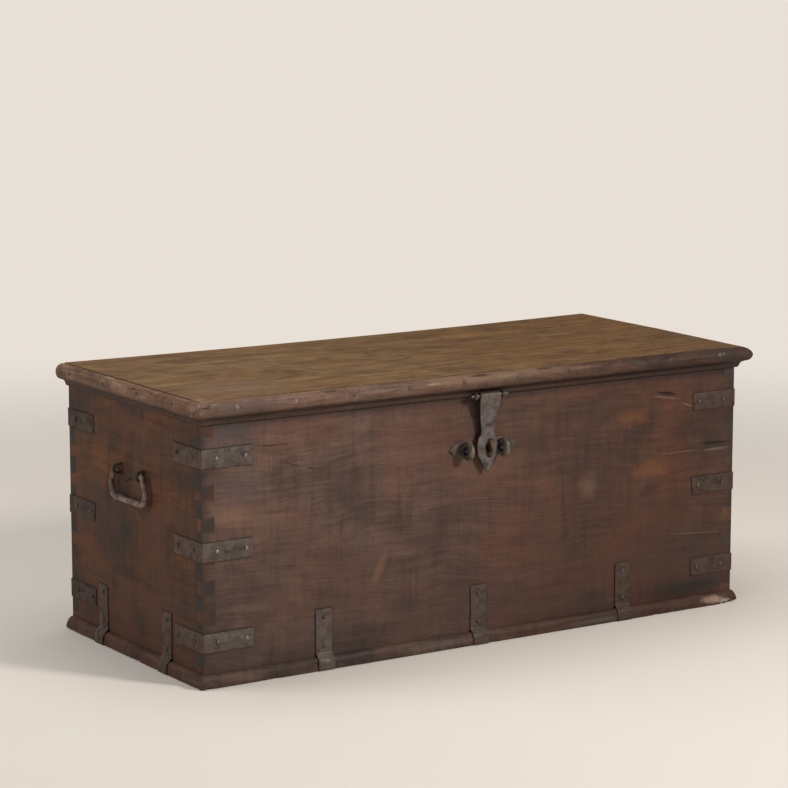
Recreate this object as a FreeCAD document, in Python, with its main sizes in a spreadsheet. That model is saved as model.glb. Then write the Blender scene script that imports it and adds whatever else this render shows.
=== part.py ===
"""Iron-strapped plank chest with a hinged lid, a hasp and two bail handles.

Millimetres. X runs along the chest (left end at -X), the front faces -Y and Z is up.
The origin is the middle of the underside, on the surface that the chest stands on.
"""

import FreeCAD, Part
import Sketcher
import math
import os

os.makedirs("parts", exist_ok=True)

doc = FreeCAD.newDocument("plank_chest")
V = FreeCAD.Vector
X_DIR = V(1, 0, 0)
Y_DIR = V(0, 1, 0)
Z_DIR = V(0, 0, 1)

# Driving dimensions
SIZES = {
    # case
    "case_length": 1152.0,
    "case_depth": 496.0,
    "wall_height": 474.0,
    "wall_thick": 24.0,
    "bottom_board_height": 146.0,
    "floor_thick": 18.0,
    # dovetails: pins on the end boards, tails on the front and back boards
    "pin_height": 30.0,
    "pin_flare": 4.0,
    # base moulding
    "base_height": 24.0,
    "base_proud": 11.0,
    # lid
    "lid_thick": 24.0,
    "lid_board_overhang": 9.0,
    "lip_gap": 1.5,
    "lip_outside": 9.5,
    "lip_drop": 19.0,
    "nose_drop": 7.0,
    "nose_proud": 26.0,
    "nose_flat": 5.0,
    "moulding_step": 1.0,
    "batten_width": 50.0,
    "batten_thick": 20.0,
    "batten_inset": 326.0,
    "batten_end_gap": 24.0,
    # forged straps
    "strap_thick": 3.0,
    "strap_width": 33.0,
    "corner_leg": 98.0,
    "top_strap_drop": 77.0,
    "middle_strap_height": 236.0,
    "bottom_strap_height": 78.0,
    "corner_nail_inset": 27.5,
    "corner_nail_pitch": 57.0,
    "base_strap_top": 108.0,
    "base_strap_lift": 0.5,
    "base_strap_seat": 0.3,
    "front_strap_gap": 135.5,
    "front_strap_shift": -11.0,
    "end_strap_gap": 13.5,
    "base_nail_high": 94.0,
    "base_nail_low": 42.0,
    # forged nails
    "nail_head_half": 4.6,
    "nail_crown_half": 2.0,
    "nail_head_height": 2.4,
    "nail_shank": 4.0,
    "nail_tip": 1.2,
    "nail_length": 22.0,
    "leaf_nail_inset": 16.0,
    "batten_nail_inset": 30.0,
    "batten_nail_length": 40.0,
    # nails of the lid moulding
    "moulding_nail_rise": 11.0,
    "moulding_nail_sink": 1.2,
    "moulding_nail_length": 42.0,
    "moulding_nail_end": 56.0,
    # lid hinges
    "hinge_inset": 196.0,
    "leaf_thick": 3.0,
    "leaf_width": 36.0,
    "case_leaf_length": 150.0,
    "lid_leaf_length": 165.0,
    "knuckle_radius": 6.5,
    "pin_radius": 3.2,
    "pin_slack": 0.05,
    "knuckle_gap": 0.6,
    "hinge_pin_cap": 2.0,
    "hinge_pin_cap_radius": 4.6,
    "notch_gap": 0.5,
    # hasp
    "hasp_shift": 0.0,
    "hasp_axis_drop": 17.0,
    "hasp_lip_gap": 0.7,
    "hasp_knuckle_radius": 7.3,
    "hasp_thick": 3.8,
    "hasp_top_width": 45.0,
    "hasp_shoulder_drop": 16.0,
    "hasp_waist_width": 27.0,
    "hasp_waist_drop": 62.0,
    "hasp_leaf_width": 43.0,
    "hasp_length": 143.0,
    "slot_width": 15.0,
    "slot_height": 34.0,
    "slot_shift": 3.0,
    "hasp_pin_length": 82.0,
    "hasp_staple_inset": 11.5,
    "hasp_staple_width": 6.0,
    "hasp_staple_wire": 3.2,
    "hasp_staple_shank": 5.0,
    # lock eyes
    "eye_drop": 114.0,
    "eye_bore_radius": 7.0,
    "eye_bore_gap": 0.5,
    "eye_thick": 11.0,
    "eye_radius": 17.0,
    "eye_wall": 6.5,
    "eye_neck": 13.0,
    "left_eye_offset": -45.0,
    "right_eye_offset": 31.5,
    "eye_tenon": 16.0,
    # the hasp's own eye, fixed in its slot
    "hasp_eye_thick": 10.0,
    "hasp_eye_radius": 13.5,
    "hasp_eye_neck": 15.0,
    "hasp_eye_foot_lap": 3.0,
    "hasp_eye_foot_thick": 3.0,
    # plates under the lock eyes
    "lock_plate_thick": 3.0,
    "lock_plate_round": 16.0,
    "lock_plate_point": 30.0,
    # bail handles
    "handle_below_top": 139.0,
    "handle_standoff": 9.5,
    "handle_bar_radius": 4.9,
    "handle_end_half": 37.0,
    "handle_shoulder_half": 51.0,
    "handle_wide_half": 64.0,
    "handle_wide_drop": 27.0,
    "handle_foot_half": 56.0,
    "handle_drop": 53.0,
    "handle_bend": 13.0,
    "staple_offset": 43.5,
    "staple_wire_radius": 2.7,
    "staple_gap": 0.4,
    "staple_leg": 16.0,
}

LID_BOARDS = 3
FLOOR_BOARDS = 3
PINS_PER_BOARD = 3
BAR_SIDES = 8
BEND_STEP = 30
FRONT_MOULDING_NAILS = 10
END_MOULDING_NAILS = 4
LEAF_NAILS = 3
BATTEN_NAILS = 3
KNUCKLES = 3
MIDDLE_OF_ARC = 45
TOUCHING = 1e-6
PLATE_BELLY_SHARES = (0.62, 0.72)
DIAGONAL = math.sqrt(0.5)

sheet = doc.addObject("Spreadsheet::Sheet", "sizes")
for row, (alias, length) in enumerate(SIZES.items(), start=1):
    sheet.set(f"A{row}", alias)
    sheet.set(f"B{row}", str(length))
    sheet.setAlias(f"B{row}", alias)
doc.recompute()


class Length:
    """A length as a number, with the sheet expression that gives it."""

    def __init__(self, number, text):
        self.number = number
        self.text = text

    def __float__(self):
        return float(self.number)

    def __neg__(self):
        return Length(-self.number, f"-({self.text})")

    def __add__(self, other):
        other = as_length(other)
        return Length(self.number + other.number, f"({self.text} + {other.text})")

    def __sub__(self, other):
        other = as_length(other)
        return Length(self.number - other.number, f"({self.text} - {other.text})")

    def __mul__(self, share):
        return Length(self.number * share, f"({self.text} * {share})")

    def __truediv__(self, parts):
        return Length(self.number / parts, f"({self.text} / {parts})")


def as_length(value):
    """Gives a plain zero or a Length as a Length."""
    return value if isinstance(value, Length) else Length(float(value), str(value))


class Dimensions:
    """The sheet's cells as attributes."""

    def __getattr__(self, alias):
        return Length(float(sheet.get(alias)), f"<<sizes>>.{alias}")


mm = Dimensions()
zero = as_length(0)

# Places that follow from the driving dimensions
half_length = mm.case_length / 2
half_depth = mm.case_depth / 2
upper_board_height = (mm.wall_height - mm.bottom_board_height) / 2
lid_top = mm.wall_height + mm.lid_thick
lip_bottom = mm.wall_height - mm.lip_drop
nose_bottom = mm.wall_height - mm.nose_drop
hasp_axis_height = mm.wall_height - mm.hasp_axis_drop
eye_height = mm.wall_height - mm.eye_drop
handle_height = mm.wall_height - mm.handle_below_top
hinge_offset = half_length - mm.hinge_inset
batten_offset = half_length - mm.batten_inset
front_strap_pitch = half_length - mm.corner_leg - mm.front_strap_gap - mm.strap_width / 2
end_strap_offset = half_depth - mm.corner_leg - mm.end_strap_gap - mm.strap_width / 2
hasp_axis_proud = mm.lip_outside + mm.hasp_lip_gap + mm.hasp_knuckle_radius
hasp_front_proud = mm.lip_outside + mm.hasp_lip_gap + mm.hasp_thick
eye_bore_proud = hasp_front_proud + mm.eye_bore_radius + mm.eye_bore_gap
hinge_axis_y = half_depth + mm.knuckle_radius
hinge_axis_z = mm.wall_height - mm.knuckle_radius
cut_overrun = mm.wall_thick
BOARD_ROWS = (
    ("bottom", zero, mm.bottom_board_height),
    ("middle", mm.bottom_board_height, upper_board_height),
    ("top", mm.bottom_board_height + upper_board_height, upper_board_height),
)
WALL_TURNS = {"front": 0, "right": 90, "back": 180, "left": 270}
SQUARE_CORNERS = ((-1, -1), (1, -1), (1, 1), (-1, 1))

pieces = []


def keep(piece, label):
    """Names a finished sub-part and lists it for export."""
    piece.Label = label
    pieces.append(piece)
    return piece


def bind(item, **values):
    """Ties properties of an object to sheet expressions."""
    for name, value in values.items():
        item.setExpression(name, as_length(value).text)


def place(item, x=zero, y=zero, z=zero, turn=0):
    """Puts an object at a point, turned about Z by whole degrees."""
    item.Placement = FreeCAD.Placement(V(0, 0, 0), FreeCAD.Rotation(Z_DIR, turn))
    for axis, value in (("x", x), ("y", y), ("z", z)):
        item.setExpression(f"Placement.Base.{axis}", as_length(value).text)
    return item


def new_body(name):
    """Starts a PartDesign body."""
    return doc.addObject("PartDesign::Body", name)


def origin_plane(body, role):
    """Finds one of a body's own origin planes."""
    return next(item for item in body.Origin.OriginFeatures if item.Role == role)


def new_sketch(body, role, offset=zero):
    """Starts a sketch on an origin plane of its body, lifted by an offset."""
    sketch = body.newObject("Sketcher::SketchObject", f"{body.Name}_profile")
    sketch.AttachmentSupport = [(origin_plane(body, role), "")]
    sketch.MapMode = "FlatFace"
    sketch.setExpression("AttachmentOffset.Base.z", as_length(offset).text)
    return sketch


def draw_outline(sketch, corners, bulges=None):
    """Draws a closed outline. Corners are dimensioned from the sheet.

    corners is a list of (across, up) lengths. bulges maps the number of a side to a
    point that the side passes through, which makes that side an arc.
    """
    bulges = bulges or {}
    points = [V(float(a), float(b), 0) for a, b in corners]
    first = sketch.GeometryCount
    count = len(points)
    for side in range(count):
        start, end = points[side], points[(side + 1) % count]
        if side in bulges:
            middle = V(float(bulges[side][0]), float(bulges[side][1]), 0)
            sketch.addGeometry(Part.Arc(start, middle, end), False)
        else:
            sketch.addGeometry(Part.LineSegment(start, end), False)
    for side, (across, up) in enumerate(corners):
        if side in bulges:
            continue
        for kind, value in (("DistanceX", across), ("DistanceY", up)):
            pin_point(sketch, kind, first + side, value)


def pin_point(sketch, kind, edge, value):
    """Dimensions the start of a line from the sketch's origin."""
    value = as_length(value)
    if abs(value.number) < TOUCHING:
        return
    number = sketch.addConstraint(Sketcher.Constraint(kind, -1, 1, edge, 1, value.number))
    sketch.setExpression(f"Constraints[{number}]", value.text)


def rectangle(sketch, left, bottom, right, top):
    """Draws a dimensioned rectangle."""
    draw_outline(sketch, [(left, bottom), (right, bottom), (right, top), (left, top)])


def pad(body, sketch, length, reverse=False, both=False):
    """Extrudes a sketch into material."""
    feature = body.newObject("PartDesign::Pad", f"{body.Name}_pad")
    feature.Profile = sketch
    bind(feature, Length=length)
    feature.Reversed = reverse
    feature.SideType = "Symmetric" if both else "One side"
    body.Tip = feature
    return feature


def pocket(body, sketch, length):
    """Cuts a sketch away on both sides of its plane."""
    feature = body.newObject("PartDesign::Pocket", f"{body.Name}_pocket")
    feature.Profile = sketch
    bind(feature, Length=length)
    feature.SideType = "Symmetric"
    body.Tip = feature
    return feature


def repeat_up(body, feature, pitch, copies):
    """Repeats a feature up the Z axis."""
    pattern = body.newObject("PartDesign::LinearPattern", f"{body.Name}_row")
    pattern.Originals = [feature]
    axis = next(item for item in body.Origin.OriginFeatures if item.Role == "Z_Axis")
    pattern.Direction = (axis, [""])
    pattern.Occurrences = copies
    bind(pattern, Length=pitch * (copies - 1))
    body.Tip = pattern
    return pattern


def box(name, length, width, height):
    """A plain board."""
    board = doc.addObject("Part::Box", name)
    bind(board, Length=length, Width=width, Height=height)
    return board


def solid_shape(name, shape):
    """A shape made with Part's own functions, as a document object."""
    item = doc.addObject("Part::Feature", name)
    item.Shape = shape
    return item


def group(name, items):
    """Puts separate solids in one sub-part."""
    compound = doc.addObject("Part::Compound", name)
    compound.Links = items
    return compound


def cut(name, base, tool):
    """Cuts a tool's solids out of a base."""
    result = doc.addObject("Part::Cut", name)
    result.Base = base
    result.Tool = tool
    return result


# Forged nails

def ringed_solid(rings):
    """A closed solid with flat faces between rings of points, capped at both ends."""
    faces = [Part.Face(Part.makePolygon(ring + ring[:1])) for ring in (rings[0], rings[-1])]
    for near, far in zip(rings, rings[1:]):
        for side in range(len(near)):
            after = (side + 1) % len(near)
            corners = [near[side], near[after], far[after], far[side], near[side]]
            faces.append(Part.Face(Part.makePolygon(corners)))
    solid = Part.Solid(Part.makeShell(faces))
    if solid.Volume < 0:
        solid.reverse()
    return solid


def square(half, y):
    """The corners of a square that faces along Y."""
    return [V(across * half, y, up * half) for across, up in SQUARE_CORNERS]


def nail_shape(length):
    """A rose-headed nail with a tapered shank: its head's seat at the origin, its crown at -Y."""
    return ringed_solid([
        square(float(mm.nail_crown_half), -float(mm.nail_head_height)),
        square(float(mm.nail_head_half), 0),
        square(float(mm.nail_shank) / 2, 0),
        square(float(mm.nail_tip) / 2, length),
    ])


def nail_at(shape, x, y, z, turn):
    """A copy of a nail, driven in the direction that +Y turns to."""
    copy = shape.copy()
    copy.Placement = FreeCAD.Placement(V(x, y, z), FreeCAD.Rotation(Z_DIR, turn))
    return copy


wall_nail = nail_shape(float(mm.nail_length))
moulding_nail = nail_shape(float(mm.moulding_nail_length))


def wall_frame(side):
    """The placement of a wall's own frame: X along the wall, -Y outward, at its middle."""
    turn = WALL_TURNS[side]
    reach = half_depth if side in ("front", "back") else half_length
    rotation = FreeCAD.Rotation(Z_DIR, turn)
    return FreeCAD.Placement(rotation.multVec(V(0, -float(reach), 0)), rotation)


def wall_run(side):
    """The length of a wall along its own frame."""
    return mm.case_length if side in ("front", "back") else mm.case_depth


def base_strap_places(side):
    """How far along its wall each base strap stands."""
    if side in ("front", "back"):
        shift = mm.front_strap_shift if side == "front" else -mm.front_strap_shift
        return [shift - front_strap_pitch, shift, shift + front_strap_pitch]
    return [-end_strap_offset, end_strap_offset]


top_strap_height = mm.wall_height - mm.top_strap_drop
STRAP_HEIGHTS = (mm.bottom_strap_height, mm.middle_strap_height, top_strap_height)


def case_leaf_nails():
    """The nails of the hinge leaves on the back wall, in the room's frame."""
    nails = []
    axis_z = float(hinge_axis_z)
    low = axis_z - float(mm.case_leaf_length - mm.leaf_nail_inset)
    high = axis_z - float(mm.knuckle_radius * 2 + mm.leaf_nail_inset)
    for end in (-1, 1):
        for number in range(LEAF_NAILS):
            height = low + (high - low) * number / (LEAF_NAILS - 1)
            seat = float(half_depth + mm.leaf_thick)
            nails.append(nail_at(wall_nail, float(hinge_offset) * end, seat, height, 180))
    return nails


def strap_nails(side):
    """All the nails that hold the straps on one wall."""
    frame = wall_frame(side)
    half_run = float(wall_run(side)) / 2
    seat = -float(mm.strap_thick)
    spots = []
    for height in STRAP_HEIGHTS:
        for end in (-1, 1):
            for step in (0, 1):
                inset = float(mm.corner_nail_inset) + step * float(mm.corner_nail_pitch)
                spots.append((end * (half_run - inset), float(height)))
    for along in base_strap_places(side):
        spots.append((float(along), float(mm.base_nail_high)))
        spots.append((float(along), float(mm.base_nail_low)))
    nails = []
    for along, height in spots:
        copy = nail_at(wall_nail, along, seat, height, 0)
        copy.Placement = frame.multiply(copy.Placement)
        nails.append(copy)
    if side == "back":
        nails.extend(case_leaf_nails())
    return nails


NAILS = {}
for side in WALL_TURNS:
    NAILS[side] = solid_shape(f"{side}_nail_set", Part.makeCompound(strap_nails(side)))
    keep(NAILS[side], f"{side}_nails")


# Forged bar of eight flats, for the staples and the bail handles

def bent_path(corners, bend):
    """The points of a path through corners, with each inner corner taken in short steps."""
    points = [corners[0]]
    for before, corner, after in zip(corners, corners[1:], corners[2:]):
        back = (before - corner).normalize()
        ahead = (after - corner).normalize()
        turn = math.pi - back.getAngle(ahead)
        towards = (back + ahead).normalize()
        centre = corner + towards * (bend / math.cos(turn / 2))
        axis = back.cross(ahead).normalize()
        steps = math.ceil(math.degrees(turn) / BEND_STEP)
        start = corner + back * (bend * math.tan(turn / 2)) - centre
        for step in range(steps + 1):
            angle = -math.degrees(turn) * step / steps
            point = centre + FreeCAD.Rotation(axis, angle).multVec(start)
            if (point - points[-1]).Length > TOUCHING:
                points.append(point)
    points.append(corners[-1])
    return points


def mitred_rings(points, side_axis, radius):
    """An eight-sided section at each point of a flat path, along the mitre there."""
    runs = [(after - before).normalize() for before, after in zip(points, points[1:])]
    rings = []
    for number, point in enumerate(points):
        before = runs[max(number - 1, 0)]
        after = runs[min(number, len(runs) - 1)]
        heading = (before + after).normalize()
        stretch = 1 / math.cos(before.getAngle(after) / 2)
        across = heading.cross(side_axis).normalize()
        ring = []
        for side in range(BAR_SIDES):
            angle = 2 * math.pi * (side + 1 / 2) / BAR_SIDES
            ring.append(point + across * (radius * math.cos(angle) * stretch)
                        + side_axis * (radius * math.sin(angle)))
        rings.append(ring)
    return rings


def forged_bar(points, side_axis, radius):
    """A closed solid round a flat path."""
    return ringed_solid(mitred_rings(points, side_axis, radius))


# Staples that the bail handles hang in

def handle_axis_x(side):
    """Where a bail's swing line stands, out from the end wall."""
    reach = half_length + mm.handle_standoff
    return -reach if side == "left" else reach


def handle_staple(name, side, end):
    """A staple of forged wire: a half ring round the bail's end and two legs in the wood."""
    wire = float(mm.staple_wire_radius)
    inner = float(mm.handle_bar_radius + mm.staple_gap)
    middle = inner + wire
    inward = 1 if side == "left" else -1
    axis = V(float(handle_axis_x(side)), float(mm.staple_offset) * end, float(handle_height))
    run = V((float(mm.handle_standoff) + float(mm.staple_leg)) * inward, 0, 0)
    out = V(-middle * inward, 0, 0)
    up = V(0, 0, middle)
    points = bent_path([axis + up + run, axis + up + out, axis - up + out, axis - up + run], middle)
    return solid_shape(name, forged_bar(points, Y_DIR, wire))


HANDLE_STAPLES = {
    side: group(f"handle_staple_pair_{side}",
                [handle_staple(f"handle_staple_{side}_{end}", side, end) for end in (-1, 1)])
    for side in ("left", "right")
}


# Case walls: three boards to a wall, dovetailed at the corners

def pin_row(body, board_height, left_edge, into, role="XZ_Plane"):
    """Draws the lowest dovetail pin of a board: narrow at the outer edge."""
    pitch = board_height / PINS_PER_BOARD
    middle = pitch / 2
    wide = mm.pin_height / 2
    narrow = wide - mm.pin_flare
    inner = left_edge + mm.wall_thick * into
    sketch = new_sketch(body, role)
    draw_outline(sketch, [
        (left_edge, middle - narrow),
        (inner, middle - wide),
        (inner, middle + wide),
        (left_edge, middle + narrow),
    ])
    return sketch, pitch


def long_board(side, row, lift, height):
    """A front or back board: tails at both ends, open for the pins."""
    body = new_body(f"{side}_board_{row}_body")
    face = new_sketch(body, "XZ_Plane")
    rectangle(face, -half_length, zero, half_length, height)
    pad(body, face, mm.wall_thick, reverse=True)
    for left_edge, into in ((-half_length, 1), (half_length, -1)):
        sketch, pitch = pin_row(body, height, left_edge, into)
        opening = pocket(body, sketch, (mm.wall_thick + cut_overrun) * 2)
        repeat_up(body, opening, pitch, PINS_PER_BOARD)
    front = -half_depth if side == "front" else half_depth - mm.wall_thick
    place(body, y=front, z=lift)
    return body


def end_board(side, row, lift, height):
    """An end board between the front and the back, with pins at both ends."""
    body = new_body(f"{side}_board_{row}_body")
    face = new_sketch(body, "YZ_Plane")
    rectangle(face, mm.wall_thick, zero, mm.case_depth - mm.wall_thick, height)
    pad(body, face, mm.wall_thick)
    outer, into = (zero, 1) if side == "left" else (mm.wall_thick, -1)
    sketch, pitch = pin_row(body, height, outer, into)
    pins = pad(body, sketch, mm.case_depth, reverse=True)
    repeat_up(body, pins, pitch, PINS_PER_BOARD)
    left = -half_length if side == "left" else half_length - mm.wall_thick
    place(body, x=left, y=-half_depth, z=lift)
    return body


EYE_OFFSETS = {"left": mm.left_eye_offset, "right": mm.right_eye_offset}


def eye_tang_hole(label):
    """The square hole that a lock eye's tang fills in the front wall."""
    tang = box(f"{label}_tang_hole", mm.eye_thick, mm.eye_tenon, mm.eye_neck)
    return place(tang, x=mm.hasp_shift + EYE_OFFSETS[label] - mm.eye_thick / 2, y=-half_depth,
                 z=eye_height - mm.eye_neck / 2)


def wall_openings(side):
    """What is cut out of a wall beside the nails."""
    if side == "front":
        return [eye_tang_hole(label) for label in EYE_OFFSETS]
    if side == "back":
        return [hinge_notch(end) for end in (-1, 1)]
    return [HANDLE_STAPLES[side]]


def hinge_notch(end):
    """The notch in the back wall's top edge that a lid leaf passes through."""
    width = mm.leaf_width + mm.notch_gap * 2
    deep = mm.leaf_thick + mm.notch_gap
    notch = box(f"hinge_notch_{end}", width, mm.wall_thick, deep)
    return place(notch, x=hinge_offset * end - width / 2, y=half_depth - mm.wall_thick,
                 z=mm.wall_height - deep)


for side in WALL_TURNS:
    make_board = long_board if side in ("front", "back") else end_board
    tools = [NAILS[wall] for wall in WALL_TURNS] + wall_openings(side)
    tool_set = group(f"{side}_wall_holes", tools)
    for row, lift, height in BOARD_ROWS:
        board = make_board(side, row, lift, height)
        keep(cut(f"{side}_{row}_cut", board, tool_set), f"{side}_board_{row}")

# Floor boards, between the walls and flush with their lower edges
floor_run = mm.case_length - mm.wall_thick * 2
floor_span = mm.case_depth - mm.wall_thick * 2
for number, label in enumerate(("front", "middle", "back")):
    board = box(f"floor_{label}", floor_run, floor_span / FLOOR_BOARDS, mm.floor_thick)
    place(board, x=-floor_run / 2, y=-floor_span / 2 + floor_span / FLOOR_BOARDS * number)
    keep(board, f"floor_board_{label}")


# Mouldings: one profile run along a wall, mitred where it meets the next

def moulding(name, corners, bulges, run, proud, start_mitre, end_mitre):
    """A run of moulding. Its own X goes along the wall, -Y outward, from a wall corner."""
    body = new_body(name)
    start = -proud if start_mitre else zero
    length = run + (proud if start_mitre else zero) + (proud if end_mitre else zero)
    profile = new_sketch(body, "YZ_Plane", start)
    draw_outline(profile, corners, bulges)
    pad(body, profile, length)
    tall = (lid_top + cut_overrun) * 2
    reach = proud + cut_overrun
    if start_mitre:
        waste = new_sketch(body, "XY_Plane")
        draw_outline(waste, [(zero, zero), (-reach, zero), (-reach, -reach)])
        pocket(body, waste, tall)
    if end_mitre:
        waste = new_sketch(body, "XY_Plane")
        draw_outline(waste, [(run, zero), (run + reach, -reach), (run + reach, zero)])
        pocket(body, waste, tall)
    return body


def corner_start(side):
    """The wall corner where a wall's own X begins."""
    return {
        "front": (-half_length, -half_depth),
        "right": (half_length, -half_depth),
        "back": (half_length, half_depth),
        "left": (-half_length, half_depth),
    }[side]


def arc_point(centre, radius_across, radius_up, degrees):
    """A point on an ellipse about a centre, for the middle of an arc."""
    angle = math.radians(degrees)
    across = centre[0] + radius_across * math.cos(angle)
    up = centre[1] + radius_up * math.sin(angle)
    return across, up


base_shoulder = mm.base_height - mm.base_proud
BASE_CORNERS = [
    (zero, zero),
    (zero, mm.base_height),
    (-mm.base_proud, base_shoulder),
    (-mm.base_proud, zero),
]
BASE_BULGES = {1: arc_point((zero, base_shoulder), -mm.base_proud, mm.base_proud, MIDDLE_OF_ARC)}

for side, turn in WALL_TURNS.items():
    x, y = corner_start(side)
    strip = moulding(f"base_{side}_body", BASE_CORNERS, BASE_BULGES, wall_run(side),
                     mm.base_proud, True, True)
    place(strip, x=x, y=y, turn=turn)
    keep(strip, f"base_moulding_{side}")


# Forged straps

def strap_cutout(name, base, sides):
    """Cuts the nail holes of the given walls in a strap."""
    return cut(name, base, group(f"{name}_nails", [NAILS[side] for side in sides]))


def corner_strap(name, start, height, turn):
    """A flat iron bent round a corner. Its corner is its own origin."""
    thick = mm.strap_thick
    body = new_body(name)
    plan = new_sketch(body, "XY_Plane")
    draw_outline(plan, [
        (zero, zero),
        (mm.corner_leg, zero),
        (mm.corner_leg, -thick),
        (zero, -thick),
        (-thick, zero),
        (-thick, mm.corner_leg),
        (zero, mm.corner_leg),
    ])
    pad(body, plan, mm.strap_width, both=True)
    return place(body, x=start[0], y=start[1], z=height, turn=turn)


CORNERS = {
    "front_left": ("front", "left"),
    "front_right": ("right", "front"),
    "back_right": ("back", "right"),
    "back_left": ("left", "back"),
}
for label, (side, other) in CORNERS.items():
    straps = [
        corner_strap(f"strap_{label}_{number}", corner_start(side), height, WALL_TURNS[side])
        for number, height in enumerate(STRAP_HEIGHTS)
    ]
    straps = group(f"straps_{label}", straps)
    keep(strap_cutout(f"straps_{label}_cut", straps, (side, other)), f"corner_straps_{label}")


def base_strap(name, along, side):
    """An upright iron that bends over the base moulding and ends near the ground."""
    thick = mm.strap_thick
    inner = mm.base_proud + mm.base_strap_seat
    outer = inner + thick
    slope = math.sqrt(2)
    body = new_body(name)
    profile = new_sketch(body, "YZ_Plane")
    draw_outline(profile, [
        (zero, mm.base_strap_top),
        (-thick, mm.base_strap_top),
        (-thick, base_shoulder + outer * slope - thick),
        (-outer, base_shoulder + outer * slope - outer),
        (-outer, mm.base_strap_lift),
        (-inner, mm.base_strap_lift),
        (-inner, base_shoulder + inner * slope - inner),
        (zero, base_shoulder + inner * slope),
    ])
    pad(body, profile, mm.strap_width, both=True)
    turn = WALL_TURNS[side]
    angle = math.radians(turn)
    reach = half_depth if side in ("front", "back") else half_length
    across = round(math.cos(angle))
    rise = round(math.sin(angle))
    return place(body, x=along * across + reach * rise, y=along * rise - reach * across, turn=turn)


for side in WALL_TURNS:
    straps = [
        base_strap(f"base_strap_{side}_{number}", along, side)
        for number, along in enumerate(base_strap_places(side))
    ]
    straps = group(f"base_straps_{side}_set", straps)
    keep(strap_cutout(f"base_straps_{side}_cut", straps, (side,)), f"base_straps_{side}")


# Lid: boards, mitred edge moulding and two battens

lid_run = mm.case_length + mm.lid_board_overhang * 2
lid_span = mm.case_depth + mm.lid_board_overhang
moulding_top = lid_top - mm.moulding_step
nose_middle = (nose_bottom + moulding_top) / 2
nose_inner = mm.nose_proud - mm.nose_flat
LID_CORNERS = [
    (-mm.lip_gap, lip_bottom),
    (-mm.lip_gap, mm.wall_height),
    (-mm.lid_board_overhang, mm.wall_height),
    (-mm.lid_board_overhang, moulding_top),
    (-mm.nose_proud, nose_middle),
    (-nose_inner, nose_bottom),
    (-mm.lip_outside, nose_bottom),
    (-mm.lip_outside, lip_bottom),
]
LID_BULGES = {
    3: arc_point((-mm.lid_board_overhang, nose_middle), -(mm.nose_proud - mm.lid_board_overhang),
                 moulding_top - nose_middle, MIDDLE_OF_ARC),
    4: arc_point((-nose_inner, nose_middle), -mm.nose_flat, -(nose_middle - nose_bottom), MIDDLE_OF_ARC),
}
LID_SIDES = {"front": (True, True), "right": (True, False), "left": (False, True)}


def moulding_nails(side):
    """Nails through a lid moulding into the edges of the lid boards."""
    count = FRONT_MOULDING_NAILS if side == "front" else END_MOULDING_NAILS
    run = float(wall_run(side))
    end = float(mm.moulding_nail_end)
    pitch = (run - 2 * end) / (count - 1)
    seat = -float(mm.nose_proud - mm.moulding_nail_sink)
    nails = []
    for number in range(count):
        along = -run / 2 + end + pitch * number
        copy = nail_at(moulding_nail, along, seat, float(mm.wall_height + mm.moulding_nail_rise), 0)
        copy.Placement = wall_frame(side).multiply(copy.Placement)
        nails.append(copy)
    return nails


def rising_nail(shape, x, y, z):
    """A copy of a nail, driven upward from a seat on an underside."""
    copy = shape.copy()
    copy.Placement = FreeCAD.Placement(V(x, y, z), FreeCAD.Rotation(X_DIR, 90))
    return copy


def underside_nails():
    """Nails through the lid leaves and the battens into the lid boards."""
    nails = []
    leaf_seat = float(mm.wall_height - mm.leaf_thick)
    batten_seat = float(mm.wall_height - mm.batten_thick)
    leaf_nail = nail_shape(float(mm.nail_length))
    batten_nail = nail_shape(float(mm.batten_nail_length))
    leaf_front = float(half_depth - mm.lid_leaf_length + mm.leaf_nail_inset)
    leaf_back = float(half_depth - mm.wall_thick - mm.leaf_nail_inset)
    batten_reach = float(batten_span / 2 - mm.batten_nail_inset)
    for end in (-1, 1):
        for number in range(LEAF_NAILS):
            y = leaf_front + (leaf_back - leaf_front) * number / (LEAF_NAILS - 1)
            nails.append(rising_nail(leaf_nail, float(hinge_offset) * end, y, leaf_seat))
        for number in range(BATTEN_NAILS):
            y = -batten_reach + 2 * batten_reach * number / (BATTEN_NAILS - 1)
            nails.append(rising_nail(batten_nail, float(batten_offset) * end, y, batten_seat))
    return nails


batten_span = floor_span - mm.batten_end_gap * 2
under_nail_set = solid_shape("under_nail_set", Part.makeCompound(underside_nails()))
keep(under_nail_set, "lid_underside_nails")

lid_nails = [nail for side in LID_SIDES for nail in moulding_nails(side)]
lid_nail_set = solid_shape("lid_nail_set", Part.makeCompound(lid_nails))
keep(lid_nail_set, "lid_moulding_nails")

hasp_axis_y = -(half_depth + hasp_axis_proud)


def hasp_staple(name, end):
    """An eye driven into the lid's lip, which carries one end of the hasp's pin."""
    outer = mm.pin_radius + mm.hasp_staple_wire
    middle = mm.hasp_shift + (mm.hasp_pin_length / 2 - mm.hasp_staple_inset) * end
    left = float(middle - mm.hasp_staple_width / 2)
    axis = V(left, float(hasp_axis_y), float(hasp_axis_height))
    ring = forged_bar([axis, axis + X_DIR * float(mm.hasp_staple_width)], Y_DIR, float(outer))
    back = -float(half_depth + mm.lip_gap)
    shank = Part.makeBox(float(mm.hasp_staple_width), back - float(hasp_axis_y),
                         float(mm.hasp_staple_shank),
                         V(left, float(hasp_axis_y), float(hasp_axis_height)))
    bore = Part.makeCylinder(float(mm.pin_radius), float(mm.hasp_staple_width), axis, X_DIR)
    return solid_shape(name, ring.fuse(shank).cut(bore).removeSplitter())


hasp_staples = group("hasp_staple_pair",
                     [hasp_staple(f"hasp_staple_{end}", end) for end in (-1, 1)])

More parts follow.
